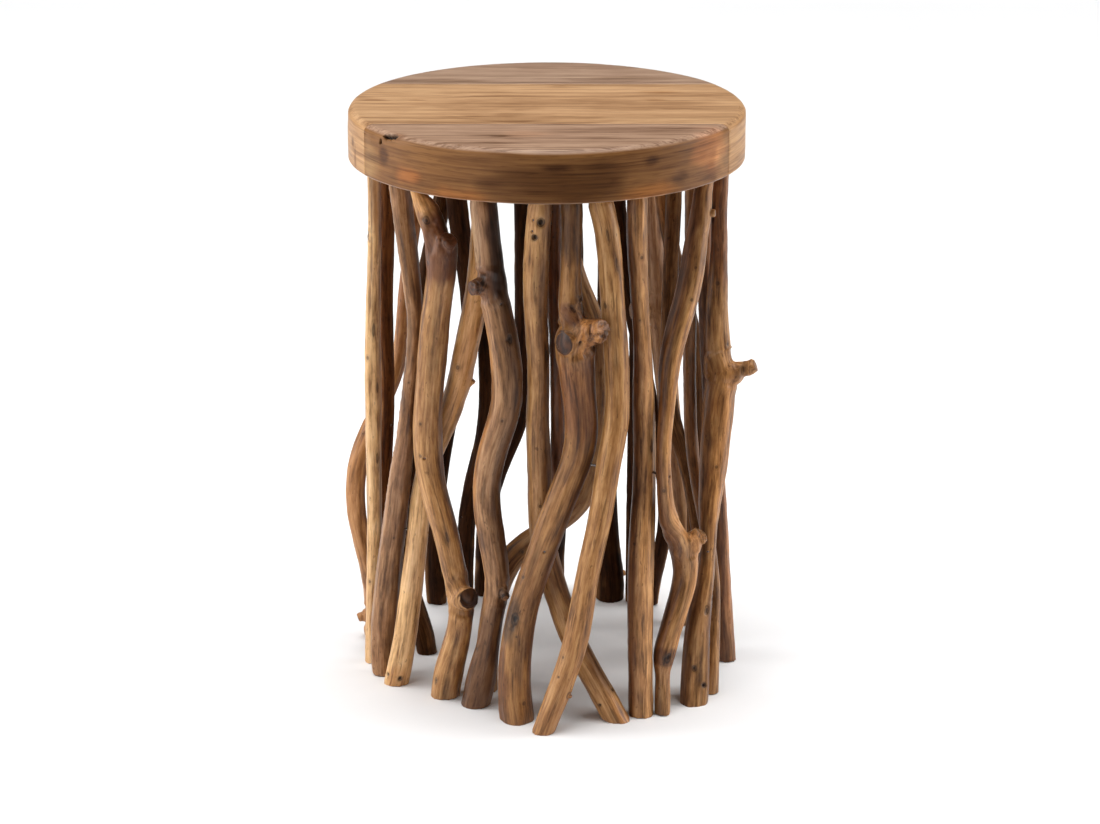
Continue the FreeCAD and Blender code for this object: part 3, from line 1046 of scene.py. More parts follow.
    def remeshed(self, body: bmesh.types.BMesh, cuts: list[Cut]) -> bpy.types.Mesh:
        """Even mesh of the branch.

        Args:
            body: Closed copy of the CAD mesh, which is used up.
            cuts: Sawn ends, which get finer faces.

        Returns:
            The new mesh.
        """
        draft_mesh = bpy.data.meshes.new(f"{self.node}_draft")
        body.to_mesh(draft_mesh)
        body.free()
        draft = bpy.data.objects.new(draft_mesh.name, draft_mesh)
        bpy.context.scene.collection.objects.link(draft)
        voxels = draft.modifiers.new("voxels", "REMESH")
        voxels.mode = "VOXEL"
        voxels.voxel_size = self.voxel
        shaped = draft.evaluated_get(bpy.context.evaluated_depsgraph_get())
        mesh = bpy.data.meshes.new_from_object(shaped)
        mesh.name = f"{self.node}_wood"
        bpy.data.objects.remove(draft)
        bpy.data.meshes.remove(draft_mesh)
        fine = bmesh.new()
        fine.from_mesh(mesh)
        self.refine(fine, cuts)
        fine.to_mesh(mesh)
        fine.free()
        return mesh

    def refine(self, body: bmesh.types.BMesh, cuts: list[Cut]) -> None:
        """Give finer faces to the sawn ends and to the places where nails go in.

        Args:
            body: Mesh to change.
            cuts: Sawn ends.
        """
        spots = [(cut.middle, cut.radius + self.END_MARGIN) for cut in cuts]
        spots += [(end, self.NAIL_MARGIN) for nail in driven_nails() for end in (nail.start, nail.end)]
        points = np.array([vert.co for vert in body.verts])
        near = np.zeros(len(points), bool)
        for middle, reach in spots:
            near |= np.linalg.norm(points - middle, axis=1) < reach
        body.verts.ensure_lookup_table()
        edges = [edge for edge in body.edges if near[edge.verts[0].index] and near[edge.verts[1].index]]
        if edges:
            bmesh.ops.subdivide_edges(body, edges=edges, cuts=1, use_grid_fill=True)

    def soften(self, mesh: bpy.types.Mesh, blunt: list[Cut]) -> None:
        """Smooth the steps of the voxels away, then fill the creases where limbs leave the branch.

        Args:
            mesh: Mesh to change.
            blunt: Ends of limbs to round over.
        """
        pairs = np.empty(len(mesh.edges) * 2, np.int64)
        mesh.edges.foreach_get("vertices", pairs)
        start, end = np.concatenate((pairs.reshape(-1, 2), pairs.reshape(-1, 2)[:, ::-1])).T
        points = coordinates(mesh)
        count = np.bincount(start, minlength=len(points))[:, None]

        def pull() -> np.ndarray:
            """Way from each vertex to the middle of its neighbours."""
            sums = [np.bincount(start, weights=points[end, axis], minlength=len(points)) for axis in range(3)]
            return np.column_stack(sums) / count - points

        for _ in range(self.SMOOTH_ROUNDS):
            points += self.SMOOTH_RATE * pull()
        move_vertices(mesh, points)
        normals = vertex_normals(mesh)
        free = smooth_step(TOP_UNDERSIDE - self.HEAD_CLEAR, TOP_UNDERSIDE - self.HEAD_FREE, points[:, 2])
        for _ in range(self.FILLET_ROUNDS):
            outward = np.maximum((pull() * normals).sum(1), 0.0) * free
            points += self.FILLET_RATE * outward[:, None] * normals
        for cut in blunt:
            off = np.linalg.norm(points - cut.middle, axis=1) / (cut.radius + self.BLUNT_REACH)
            near = smooth_step(*self.BLUNT_EDGE, off)[:, None]
            for _ in range(self.BLUNT_ROUNDS):
                points += self.SMOOTH_RATE * near * pull()
        move_vertices(mesh, points)

    def mean_radius(self, place: Place) -> np.ndarray:
        """Radius of the branch without its limbs, at each vertex.

        Args:
            place: Where the vertices are.

        Returns:
            One radius for each vertex.
        """
        levels = np.arange(0.0, place.along.max() + self.RADIUS_STEP, self.RADIUS_STEP)
        found = []
        for level in levels:
            ring = place.out[np.abs(place.along - level) < self.RADIUS_BAND]
            middle = np.median(ring) if len(ring) else found[-1]
            near = ring[np.abs(ring - middle) < self.RADIUS_SPREAD * middle]
            found.append(near.mean() if len(near) else middle)
        return np.interp(place.along, levels, averaged(np.array(found), 2, mode="edge"))

    def limbs(
        self, points: np.ndarray, place: Place, mean: np.ndarray, cuts: list[Cut]
    ) -> tuple[np.ndarray, np.ndarray]:
        """Which vertices belong to limbs, and the way of the grain on the branch and its limbs.

        Args:
            points: Vertices.
            place: Where the vertices are.
            mean: Radius of the branch at each vertex.
            cuts: Sawn ends of the limbs.

        Returns:
            Each vertex's share in a limb, and its place across and along the grain.
        """
        share = np.zeros(len(points))
        grain = np.column_stack((place.right, place.front, place.along))
        for number, cut in enumerate(cuts, 1):
            away = points - cut.middle
            ahead = away @ cut.way
            off = np.linalg.norm(away - ahead[:, None] * cut.way, axis=1)
            weight = smooth_step(*self.LIMB_START, place.out / mean)
            weight *= (ahead > -self.LIMB_REACH) & (off < self.LIMB_WIDTH * cut.radius + MM)
            across = np.cross(cut.way, (0.0, 0.0, 1.0))
            across /= np.linalg.norm(across)
            up = np.cross(across, cut.way)
            own = np.column_stack((away @ across, away @ up, ahead + self.LIMB_GRAIN * number))
            grain += weight[:, None] * (own - grain)
            share = np.maximum(share, weight)
        return share, grain

    def rounded(self, points: np.ndarray, place: Place, mean: np.ndarray, limb: np.ndarray) -> np.ndarray:
        """The vertices with the flats of the CAD sections rounded off.

        Args:
            points: Vertices.
            place: Where the vertices are.
            mean: Radius of the branch at each vertex.
            limb: Each vertex's share in a limb.

        Returns:
            The new places.
        """
        share = place.out / mean
        skin = smooth_step(*self.SKIN_UNDER, share) * smooth_step(*self.SKIN_OVER, share)
        skin *= (1.0 - limb) * (points[:, 2] < TOP_UNDERSIDE)
        pull = 1.0 + self.ROUNDING * skin * (mean / np.maximum(place.out, MM) - 1.0)
        moved = place.centre + (points - place.centre) * pull[:, None]
        moved[:, 2] = points[:, 2]
        return moved

    def relief(self, grain: np.ndarray, place: Place, mean: np.ndarray, limb: np.ndarray) -> np.ndarray:
        """Lumps, flutes and fine unevenness of the wood.

        Args:
            grain: Place across and along the grain.
            place: Where the vertices are.
            mean: Radius of the branch at each vertex.
            limb: Each vertex's share in a limb.

        Returns:
            How far each vertex lifts.
        """
        lumps = lattice_noise(grain / self.LUMP_SIZE, self.seed)
        turn = np.radians(place.side)
        across = np.column_stack((np.cos(turn), np.sin(turn))) * self.FLUTE_COUNT
        flutes = np.column_stack((across, place.along / self.FLUTE_LENGTH))
        ridges = lattice_noise(flutes, self.seed + self.FLUTE_SEED) * (1.0 - limb)
        fine = lattice_noise(grain / self.FINE_SIZE, self.seed + self.FINE_SEED)
        return mean * (self.lump * lumps + self.flute * ridges) + self.FINE_HEIGHT * fine

    def marked(self, place: Place, mean: np.ndarray, spine: Spine) -> tuple[np.ndarray, np.ndarray]:
        """Knots, scars and other marks.

        Args:
            place: Where the vertices are.
            mean: Radius of the branch at each vertex.
            spine: Centreline of the branch.

        Returns:
            How dark each vertex is, and how far it lifts.
        """
        dark = np.zeros(len(mean))
        lift = np.zeros(len(mean))
        for number, mark in enumerate(self.marks):
            form = mark.kind.value
            level = np.interp(mark.height * TOP_UNDERSIDE, spine.middles[:, 2], spine.lengths)
            across = np.radians(place.turn_from(mark.side)) * mean
            wide = mark.radius * MM
            grit_place = np.column_stack((across, place.along, mean)) / self.GRIT_SIZE
            grit = lattice_noise(grit_place, self.seed + number)
            off = np.hypot(across / wide, (place.along - level) / (wide * form.tall))
            off = off * (1.0 + self.RAGGED * grit)
            near = np.exp(-(off**2))
            core = np.exp(-((off / self.CORE) ** 2))
            lift += wide * (form.swell * near - form.sink * core + form.rough * near * grit)
            dark = np.maximum(dark, form.dark * np.exp(-((off / self.SHADOW) ** 2)))
        return dark, lift

    def lifted(self, points: np.ndarray, normals: np.ndarray, lift: np.ndarray) -> np.ndarray:
        """The vertices with the relief and the marks on them, and the wood that sits higher moved up.

        Args:
            points: Vertices.
            normals: Their outward directions.
            lift: How far each vertex lifts.

        Returns:
            The new places.
        """
        height = points[:, 2]
        free = smooth_step(TOP_UNDERSIDE + self.HEAD_FADE, TOP_UNDERSIDE, height)
        moved = points + normals * (lift * free)[:, None]
        moved[:, 2] = np.where(height < self.FOOT_FLAT, 0.0, moved[:, 2])
        share, rise = self.raised
        off = (height - share * TOP_UNDERSIDE) / self.RAISED_REACH
        moved[:, 2] += rise * MM * np.exp(-(off**2))
        return moved

    def pitted(self, points: np.ndarray) -> np.ndarray:
        """The vertices with a pit down to each nail that was driven into this branch from outside.

        Args:
            points: Vertices.

        Returns:
            The new places.
        """
        moved = points.copy()
        for nail in driven_nails():
            for driven in (nail.reversed(), nail):
                along, away = driven.locate(moved)
                past = along - driven.length
                depth = np.where((past > -MM) & (past < self.NAIL_MARGIN), past + self.PIT_FLOOR, 0.0)
                depth = np.maximum(depth, 0.0) * smooth_step(self.PIT_RADIUS, self.PIT_WALL, away)
                moved -= depth[:, None] * driven.way
        return moved

    def cut_shares(self, points: np.ndarray, normals: np.ndarray, cuts: list[Cut]) -> list[np.ndarray]:
        """Which vertices lie on the sawn ends.

        Args:
            points: Vertices.
            normals: Their outward directions.
            cuts: Sawn ends.

        Returns:
            Each vertex's share in each sawn end, and last in the foot.
        """
        shares = []
        for number, cut in enumerate(cuts):
            near = np.linalg.norm(points - cut.middle, axis=1) < cut.radius + self.END_BAND
            facing = smooth_step(*self.END_FACING, normals @ cut.way)
            shares.append(facing * near * (number not in self.blunt))
        return [*shares, smooth_step(*self.FOOT_FACING, normals[:, 2]) * (points[:, 2] < self.END_BAND)]

    def tinted(self, place: Place, lift: np.ndarray, shares: list[np.ndarray]) -> np.ndarray:
        """Colour that each vertex multiplies its wood by: tints, painted light and shade, sawn ends, and
        darkening in the hollows.

        Args:
            place: Where the vertices are.
            lift: How far each vertex lifts, as a share of the radius.
            shares: Each vertex's share in each sawn end.

        Returns:
            One colour with alpha for each vertex.
        """
        colour = np.ones((len(lift), 3))
        spread = np.column_stack((place.right, place.front, place.along * self.TINT_STRETCH)) / self.TINT_SIZE
        for number, tint in enumerate(self.tints):
            up = (place.height / TOP_UNDERSIDE - tint.height) / tint.tall
            off = np.hypot(up, place.turn_from(tint.side) / tint.wide)
            off += self.RAGGED * lattice_noise(spread, self.seed + self.TINT_SEED + number)
            weight = smooth_step(*self.TINT_EDGE, off)[:, None]
            colour *= 1.0 + weight * (np.array(tint.colour) - 1.0)
        for end, share in zip(self.ends, shares):
            colour *= 1.0 + share[:, None] * (np.array(end) - 1.0)
        dirt = 1.0 - self.DIRT * smooth_step(*self.DIRT_HOLLOW, lift)
        return np.column_stack((colour * dirt[:, None], np.ones(len(lift))))


# Degrees that reach all round, painted shade on the inner side of the back branches, and the voxels of hidden
# ones.
ALL_ROUND = 400.0
INNER_FACE = Tint(0.5, 0.0, 1.1, 120.0, (0.12, 0.085, 0.07))
COARSE = 1.3 * MM
BACK_BRANCHES = (
    "branch_back_right_curved",
    "branch_back_right_post",
    "branch_back_stout",
    "branch_back_splayed",
    "branch_back_inner",
    "branch_back_left_leaning",
    "branch_back_left_post",
)

# Most patches on one side of a branch are painted: shade on the side turned from the lamps, light on the side
# that faces them.
BRANCHES = (
    Branch(
        "branch_left_straight", PALE_TAN, 1,
        marks=(
            Mark(0.855, -74.0, 4.2, MarkKind.SCAR), Mark(0.674, 8.0, 2.4, MarkKind.STREAK),
            Mark(0.619, -36.0, 3.2), Mark(0.169, -31.0, 2.8), Mark(0.42, 30.0, 2.2, MarkKind.STREAK),
            Mark(0.56, 38.0, 2.0, MarkKind.STREAK),
        ),
        tints=(
            Tint(0.5, 85.0, 1.2, 55.0, (0.5, 0.4, 0.32)), Tint(0.95, 30.0, 0.14, 70.0, (0.6, 0.5, 0.42)),
        ),
    ),
    Branch("branch_left_slender", SHADED, 2, tints=(Tint(0.6, 20.0, 0.9, 110.0, (0.3, 0.2, 0.14)),)),
    Branch(
        "branch_left_bowed", ORANGE_TAN, 3,
        marks=(Mark(0.433, -34.0, 2.3),),
        tints=(
            Tint(0.85, 20.0, 0.3, ALL_ROUND, (0.72, 0.62, 0.54)),
            Tint(0.4, 95.0, 0.4, 60.0, (0.6, 0.5, 0.42)),
        ),
        lump=0.03,
        flute=0.02,
    ),
    Branch(
        "branch_left_leaning", GREY_BROWN, 4,
        marks=(Mark(0.30, 5.0, 2.5), Mark(0.62, -10.0, 2.2)),
        tints=(Tint(0.4, 75.0, 0.9, 60.0, (0.4, 0.35, 0.32)),),
        fullness=1.22,
    ),
    Branch(
        "branch_left_crossing", PALE_TAN, 5,
        marks=(
            Mark(0.654, -21.0, 3.4), Mark(0.019, 12.0, 3.1, MarkKind.HOLE),
            Mark(0.019, -62.0, 2.3, MarkKind.HOLE), Mark(0.02, -25.0, 4.0, MarkKind.TORN),
        ),
        tints=(
            Tint(0.02, -10.0, 0.035, 60.0, (0.75, 0.62, 0.5)),
            Tint(0.75, 0.0, 0.3, ALL_ROUND, (0.86, 0.72, 0.56)),
            Tint(0.3, 90.0, 0.5, 50.0, (0.7, 0.6, 0.5)),
        ),
    ),
    Branch("branch_left_propped", DARK, 6, tints=(Tint(0.6, 0.0, 0.9, 120.0, (0.5, 0.45, 0.42)),)),
    Branch(
        "branch_front_elbow", GOLDEN, 7,
        marks=(
            Mark(0.865, -61.0, 4.7), Mark(0.935, -10.0, 4.0, MarkKind.SCAR),
            Mark(0.90, 15.0, 5.0, MarkKind.TORN), Mark(0.550, -27.0, 2.8), Mark(0.486, -29.0, 2.8),
            Mark(0.225, -112.0, 3.1), Mark(0.04, -50.0, 3.0, MarkKind.SCAR),
            Mark(0.33, 10.0, 2.2, MarkKind.STREAK), Mark(0.955, 70.0, 7.0, MarkKind.BOSS),
            Mark(0.930, 75.0, 8.0, MarkKind.BOSS),
        ),
        tints=(
            Tint(0.885, 0.0, 0.065, ALL_ROUND, (0.44, 0.33, 0.32)),
            Tint(0.55, 100.0, 0.6, 60.0, (0.48, 0.40, 0.33)),
            # The pale band at the top of the elbow's arm is painted light, lifting it out of the shade under
            # the top.
            Tint(0.99, -20.0, 0.05, 80.0, (1.45, 1.5, 1.5)), Tint(0.19, 60.0, 0.03, 32.0, (0.5, 0.4, 0.36)),
            Tint(0.90, 65.0, 0.06, 55.0, (0.5, 0.42, 0.42)),
            Tint(0.10, 70.0, 0.14, 70.0, (0.7, 0.62, 0.52)),
        ),
        ends=((1.0, 1.0, 1.0), (0.2, 0.16, 0.16)),
        blunt=(0,),
    ),
    Branch(
        "branch_front_wavy", GREY_BROWN, 8,
        marks=(
            Mark(0.840, -25.0, 5.5, MarkKind.SCAR), Mark(0.733, 31.0, 4.0, MarkKind.SCAR),
            Mark(0.120, -58.0, 3.1), Mark(0.583, -3.0, 3.0), Mark(0.24, 20.0, 4.5, MarkKind.SCAR),
        ),
        tints=(
            Tint(0.5, -95.0, 0.5, 45.0, (1.3, 1.15, 0.85)),
            Tint(0.10, 10.0, 0.13, ALL_ROUND, (0.38, 0.32, 0.27)),
            Tint(0.6, 70.0, 0.6, 70.0, (0.42, 0.37, 0.34)), Tint(0.92, 55.0, 0.16, 65.0, (0.24, 0.2, 0.18)),
            Tint(0.84, -20.0, 0.035, 75.0, (0.62, 0.52, 0.5)),
            Tint(0.93, -55.0, 0.09, 40.0, (1.0, 1.12, 1.2)),
        ),
        ends=((0.6, 0.55, 0.55), (1.3, 1.25, 1.2)),
    ),
    Branch(
        "branch_front_kicked", GOLDEN, 9,
        marks=(
            Mark(0.958, 10.0, 4.6, MarkKind.HOLE), Mark(0.930, -14.0, 3.6, MarkKind.HOLE),
            Mark(0.411, 2.0, 3.1), Mark(0.033, -27.0, 1.8, MarkKind.HOLE),
            Mark(0.044, 73.0, 1.8, MarkKind.HOLE), Mark(0.70, 60.0, 2.4, MarkKind.STREAK),
        ),
        tints=(
            Tint(0.55, 65.0, 0.7, 75.0, (0.52, 0.45, 0.4)), Tint(0.015, 60.0, 0.03, 45.0, (1.5, 1.5, 1.5)),
        ),
    ),
    Branch("branch_front_inner", RED_BROWN, 10, tints=(Tint(0.5, 0.0, 1.0, ALL_ROUND, (0.6, 0.5, 0.45)),)),
    Branch("branch_front_diagonal", BROWN, 11, marks=(Mark(0.30, 0.0, 3.0),)),
    Branch(
        "branch_front_knuckle", BROWN, 12,
        marks=(
            Mark(0.206, -27.0, 6.0, MarkKind.SCAR), Mark(0.174, -7.0, 2.3), Mark(0.283, -44.0, 3.0),
            Mark(0.040, 31.0, 3.9), Mark(0.806, 56.0, 4.7, MarkKind.SCAR),
            Mark(0.735, 25.0, 8.0, MarkKind.TORN), Mark(0.735, 55.0, 7.0, MarkKind.TORN),
            Mark(0.73, 8.0, 2.6, MarkKind.HOLE), Mark(0.785, 0.0, 4.5, MarkKind.SCAR),
        ),
        tints=(
            Tint(0.95, 0.0, 0.07, ALL_ROUND, (0.42, 0.38, 0.34)),
            Tint(0.45, 0.0, 1.2, ALL_ROUND, (0.82, 0.76, 0.66)),
            Tint(0.62, 0.0, 0.09, ALL_ROUND, (0.74, 0.62, 0.58)),
            Tint(0.738, 25.0, 0.035, 45.0, (1.55, 1.5, 1.55)),
            Tint(0.20, -45.0, 0.05, 42.0, (0.36, 0.36, 0.42)),
            Tint(0.4, 85.0, 0.6, 60.0, (0.5, 0.42, 0.36)),
            Tint(0.775, -25.0, 0.025, 50.0, (0.6, 0.5, 0.52)),
            Tint(0.07, -60.0, 0.09, 40.0, (0.6, 0.52, 0.54)),
        ),
        ends=((1.0, 1.0, 1.0), (0.3, 0.22, 0.2)),
        blunt=(0,),
        raised=(0.735, 6.5),
    ),
    Branch(
        "branch_front_outer", GOLDEN, 13,
        marks=(
            Mark(0.800, -35.0, 4.2), Mark(0.144, -42.0, 2.8), Mark(0.875, 32.0, 2.2, MarkKind.STREAK),
            Mark(0.107, -33.0, 1.6, MarkKind.HOLE), Mark(0.93, 5.0, 2.0, MarkKind.STREAK),
        ),
        tints=(Tint(0.35, 45.0, 0.7, 90.0, (0.9, 0.84, 0.76)),),
    ),
    Branch(
        "branch_right_post", BROWN, 14,
        marks=(
            Mark(0.881, 24.0, 3.1), Mark(0.336, -35.0, 3.1), Mark(0.764, -7.0, 2.3),
            Mark(0.52, 40.0, 2.5, MarkKind.STREAK),
        ),
        tints=(
            Tint(0.45, 30.0, 0.8, 40.0, (1.3, 1.26, 1.2)), Tint(0.45, -65.0, 1.0, 52.0, (0.42, 0.32, 0.27)),
        ),
        flute=0.08,
    ),
    Branch(
        "branch_right_forked", BROWN, 15,
        marks=(
            Mark(0.830, 10.0, 3.1), Mark(0.777, 23.0, 3.1), Mark(0.446, -6.0, 3.0),
            Mark(0.110, 21.0, 4.7, MarkKind.SCAR),
        ),
        tints=(
            Tint(0.6, -50.0, 0.8, 55.0, (0.5, 0.4, 0.35)), Tint(0.45, 55.0, 0.5, 45.0, (1.3, 1.22, 1.1)),
            Tint(0.11, 0.0, 0.02, ALL_ROUND, (0.5, 0.42, 0.38)),
        ),
        flute=0.07,
    ),
    Branch(
        "branch_right_hooked", BROWN, 16,
        marks=(
            Mark(0.773, 0.0, 3.6), Mark(0.655, 49.0, 3.6), Mark(0.432, 9.0, 3.0),
            Mark(0.195, 80.0, 3.9, MarkKind.SCAR), Mark(0.174, 29.0, 3.9, MarkKind.SCAR),
            Mark(0.067, -11.0, 3.1, MarkKind.SCAR), Mark(0.033, 39.0, 3.0, MarkKind.HOLE),
            Mark(0.586, -64.0, 3.0),
        ),
        tints=(
            Tint(0.9, 0.0, 0.14, ALL_ROUND, (0.62, 0.48, 0.42)),
            Tint(0.45, 30.0, 0.22, 70.0, (1.3, 1.2, 1.05)),
            Tint(0.10, 60.0, 0.13, 25.0, (0.45, 0.38, 0.34)),
            Tint(0.3, -60.0, 0.5, 45.0, (0.5, 0.42, 0.36)),
        ),
        flute=0.075,
    ),
    Branch("branch_right_slender", BROWN, 17, tints=(Tint(0.6, 0.0, 0.5, ALL_ROUND, (0.5, 0.42, 0.36)),)),
    Branch(
        "branch_right_straight", RED_BROWN, 18,
        tints=(Tint(0.2, 60.0, 0.4, 60.0, (1.2, 1.2, 1.2)), Tint(0.4, -30.0, 0.7, 80.0, (0.55, 0.5, 0.5))),
    ),
    Branch("branch_right_inner", DARK, 19, voxel=COARSE),
    Branch(
        "branch_right_tilted", DARK, 20,
        tints=(Tint(0.92, 0.0, 0.09, ALL_ROUND, (2.0, 2.0, 1.8)),),
        voxel=COARSE,
    ),
    Branch("branch_back_right_stubbed", GREY_BROWN, 21, voxel=COARSE),
    *(
        Branch(node, SHADED, seed, tints=(INNER_FACE,), voxel=COARSE)
        for seed, node in enumerate(BACK_BRANCHES, 22)
    ),
)


@dataclass(frozen=True)
class Stain:
    """A patch of another colour on the top: its middle and reach in millimetres.

    Colour is what the wood multiplies by.
    """

    middle: Triple
    reach: Triple
    colour: Colour


@dataclass(frozen=True)
class Split:
    """An open split in the top, from one point to another, with its width and depth in millimetres."""

    start: Triple
    end: Triple
    width: float
    depth: float


@dataclass(frozen=True)
class Board:
    """One board of the top, with its stains and splits.

    Rim is the colour that its rim multiplies by. Facing is the way along Y from which the rim's grain is
    measured.
    """

    node: str
    finish: BoardFinish
    seed: int
    stains: tuple[Stain, ...] = ()
    splits: tuple[Split, ...] = ()
    rim: Colour = (1.0, 1.0, 1.0)
    facing: float = -1.0

    PITCH = 3 * MM
    FINE_PITCH = 0.7 * MM
    SPLIT_MARGIN = 3 * MM
    SHARP_ANGLE = math.radians(35.0)

    # The rim, and how far its facets lie from the true round.
    RIM_BAND = 7 * MM
    RIM_START = 1.4 * RIM_BAND
    RIM_WORN = 0.3 * RIM_BAND
    RIM_SLOPE = (0.8, 0.45)
    FACET_REACH = 0.35 * MM

    # Sizes and depths of the wear.
    BROAD_SIZE, BROAD_WEAR = (38 * MM, 38 * MM, 30 * MM), 0.32 * MM
    SMALL_SIZE, SMALL_WEAR = (9 * MM, 9 * MM, 7 * MM), 0.14 * MM
    EDGE_BAND, EDGE_WEAR = 8 * MM, 0.35 * MM
    WAVE_SIZE, WAVE_DEPTH = (60 * MM, 14 * MM, 1.0), 0.09 * MM
    FACE_SKIN = 0.01 * MM

    # Edges of splits and stains.
    SPLIT_SIZE, SPLIT_RAGGED, SPLIT_SEED = 2.2 * MM, 0.35, 10
    SPLIT_TIP = 0.35
    SPLIT_EDGE, SPLIT_DARK = (1.25, 0.7), 0.93
    STAIN_SIZE, STAIN_RAGGED, STAIN_SEED = (22 * MM, 8 * MM, 8 * MM), 0.3, 20
    STAIN_EDGE = (1.2, 0.4)

    def build(self) -> bpy.types.Object:
        """Model and dress the board.

        Returns:
            The finished piece.
        """
        body = cad_copy(self.node)
        self.cut_grid(body)
        bmesh.ops.triangulate(body, faces=body.faces[:])
        mesh = bpy.data.meshes.new(f"{self.node}_wood")
        body.to_mesh(mesh)
        body.free()
        points = self.worn(self.trued(coordinates(mesh)))
        move_vertices(mesh, points)
        normals = vertex_normals(mesh)
        out = np.hypot(points[:, 0], points[:, 1])
        rim = smooth_step(*self.RIM_SLOPE, np.abs(normals[:, 2]))
        rim = rim * smooth_step(TOP_RADIUS - self.RIM_START, TOP_RADIUS - self.RIM_BAND, out)
        turn = np.arctan2(points[:, 0], self.facing * points[:, 1])
        grain = np.column_stack((turn * TOP_RADIUS, out - TOP_RADIUS, points[:, 2]))
        store(mesh, "grain", "FLOAT_VECTOR", grain)
        store(mesh, "rim", "FLOAT", rim)
        points, gap = self.split_open(points, normals)
        low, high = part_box(self.node)
        move_vertices(mesh, np.clip(points, low, high))
        store(mesh, "tint", "FLOAT_COLOR", self.tinted(points, gap, rim))
        piece = place_piece(mesh, self.node, self.finish.material())
        mesh.set_sharp_from_angle(angle=self.SHARP_ANGLE)
        return piece

    def cut_grid(self, body: bmesh.types.BMesh) -> None:
        """Cut the faces into an even grid, finer round the splits.

        Args:
            body: Closed copy of the CAD mesh.
        """
        low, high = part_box(self.node)
        for axis in range(3):
            for level in np.arange(low[axis] + self.PITCH, high[axis], self.PITCH):
                self.cut_at(body, body.faces[:], axis, level)
        for split in self.splits:
            ends = np.array((split.start, split.end)) * MM
            near, far = ends.min(0) - self.SPLIT_MARGIN, ends.max(0) + self.SPLIT_MARGIN
            for axis in range(3):
                for level in np.arange(near[axis], far[axis], self.FINE_PITCH):
                    faces = [face for face in body.faces if self.within(face, near, far)]
                    self.cut_at(body, faces, axis, level)

    @staticmethod
    def within(face: bmesh.types.BMFace, near: np.ndarray, far: np.ndarray) -> bool:
        """Whether a face lies in a box.

        Args:
            face: Face to look at.
            near: Low corner of the box.
            far: High corner of the box.

        Returns:
            True if its middle does.
        """
        middle = face.calc_center_median()
        return all(low < value < high for low, value, high in zip(near, middle, far))

    @staticmethod
    def cut_at(body: bmesh.types.BMesh, faces: list[bmesh.types.BMFace], axis: int, level: float) -> None:
        """Cut faces along a plane across an axis.

        Args:
            body: Mesh to change.
            faces: Faces to cut.
            axis: Number of the axis.
            level: Place of the plane on it.
        """
        way = Vector([float(other == axis) for other in range(3)])
        verts = {vert for face in faces for vert in face.verts}
        edges = {edge for face in faces for edge in face.edges}
        geometry = [*faces, *edges, *verts]
        bmesh.ops.bisect_plane(body, geom=geometry, plane_co=way * level, plane_no=way, dist=MERGE)

    @staticmethod
    def profile(heights: np.ndarray) -> np.ndarray:
        """Radius of the turned rim at some heights.

        Args:
            heights: Heights above the floor.

        Returns:
            One radius for each height.
        """
        over = np.clip(heights - (TOP_FACE - TOP_EDGE_ROUND), 0.0, TOP_EDGE_ROUND)
        under = np.clip(TOP_UNDERSIDE + UNDER_EDGE_ROUND - heights, 0.0, UNDER_EDGE_ROUND)
        upper = TOP_EDGE_ROUND - np.sqrt(TOP_EDGE_ROUND**2 - over**2)
        lower = UNDER_EDGE_ROUND - np.sqrt(UNDER_EDGE_ROUND**2 - under**2)
        return TOP_RADIUS - upper - lower

    def trued(self, points: np.ndarray) -> np.ndarray:
        """The vertices of the rim on its true round.

        Args:
            points: Vertices.

        Returns:
            The new places.
        """
        out = np.hypot(points[:, 0], points[:, 1])
        true = self.profile(points[:, 2])
        between = (points[:, 2] < TOP_FACE - MERGE) & (points[:, 2] > TOP_UNDERSIDE + MERGE)
        on_rim = (np.abs(out - true) < self.FACET_REACH) & between
        moved = points.copy()
        moved[:, :2] *= np.where(on_rim, true / np.maximum(out, MM), 1.0)[:, None]
        return moved

    def worn(self, points: np.ndarray) -> np.ndarray:
        """The vertices with the rim worn uneven and the upper face a little wavy.

        Args:
            points: Vertices.

        Returns:
            The new places.
        """
        out = np.hypot(points[:, 0], points[:, 1])
        rim = smooth_step(TOP_RADIUS - self.RIM_BAND, TOP_RADIUS - self.RIM_WORN, out)
        broad = lattice_noise(points / self.BROAD_SIZE, self.seed) + 1.0
        small = lattice_noise(points / self.SMALL_SIZE, self.seed + 1) + 1.0
        waves = lattice_noise(points / self.WAVE_SIZE, self.seed + 2) + 1.0
        wear = rim * (self.BROAD_WEAR * broad + self.SMALL_WEAR * small)
        moved = points.copy()
        moved[:, :2] *= (1.0 - wear / np.maximum(out, MM))[:, None]
        edge = smooth_step(TOP_FACE - self.EDGE_BAND, TOP_FACE, points[:, 2])
        moved[:, 2] -= edge * rim * self.EDGE_WEAR * broad
        face = points[:, 2] > TOP_FACE - self.FACE_SKIN
        moved[:, 2] -= face * self.WAVE_DEPTH * waves
        return moved

    def split_open(self, points: np.ndarray, normals: np.ndarray) -> tuple[np.ndarray, np.ndarray]:
        """The vertices with the splits sunk in.

        Args:
            points: Vertices.
            normals: Their outward directions.

        Returns:
            The new places, and how deep in a split each vertex is.
        """
        moved = points.copy()
        gap = np.zeros(len(points))
        for number, split in enumerate(self.splits):
            start, end = np.array(split.start) * MM, np.array(split.end) * MM
            line = end - start
            share = np.clip(((points - start) @ line) / (line @ line), 0.0, 1.0)
            off = np.linalg.norm(points - start - share[:, None] * line, axis=1)
            noise = lattice_noise(points / self.SPLIT_SIZE, self.seed + self.SPLIT_SEED + number)
            belly = np.sqrt(np.clip(4 * share * (1 - share), 0.0, 1.0))
            taper = self.SPLIT_TIP + (1.0 - self.SPLIT_TIP) * belly
            half = split.width * MM / 2 * (1.0 + self.SPLIT_RAGGED * noise) * taper
            depth = smooth_step(*self.SPLIT_EDGE, off / half)
            gap = np.maximum(gap, depth)
            moved -= (depth * split.depth * MM)[:, None] * normals
        return moved, gap

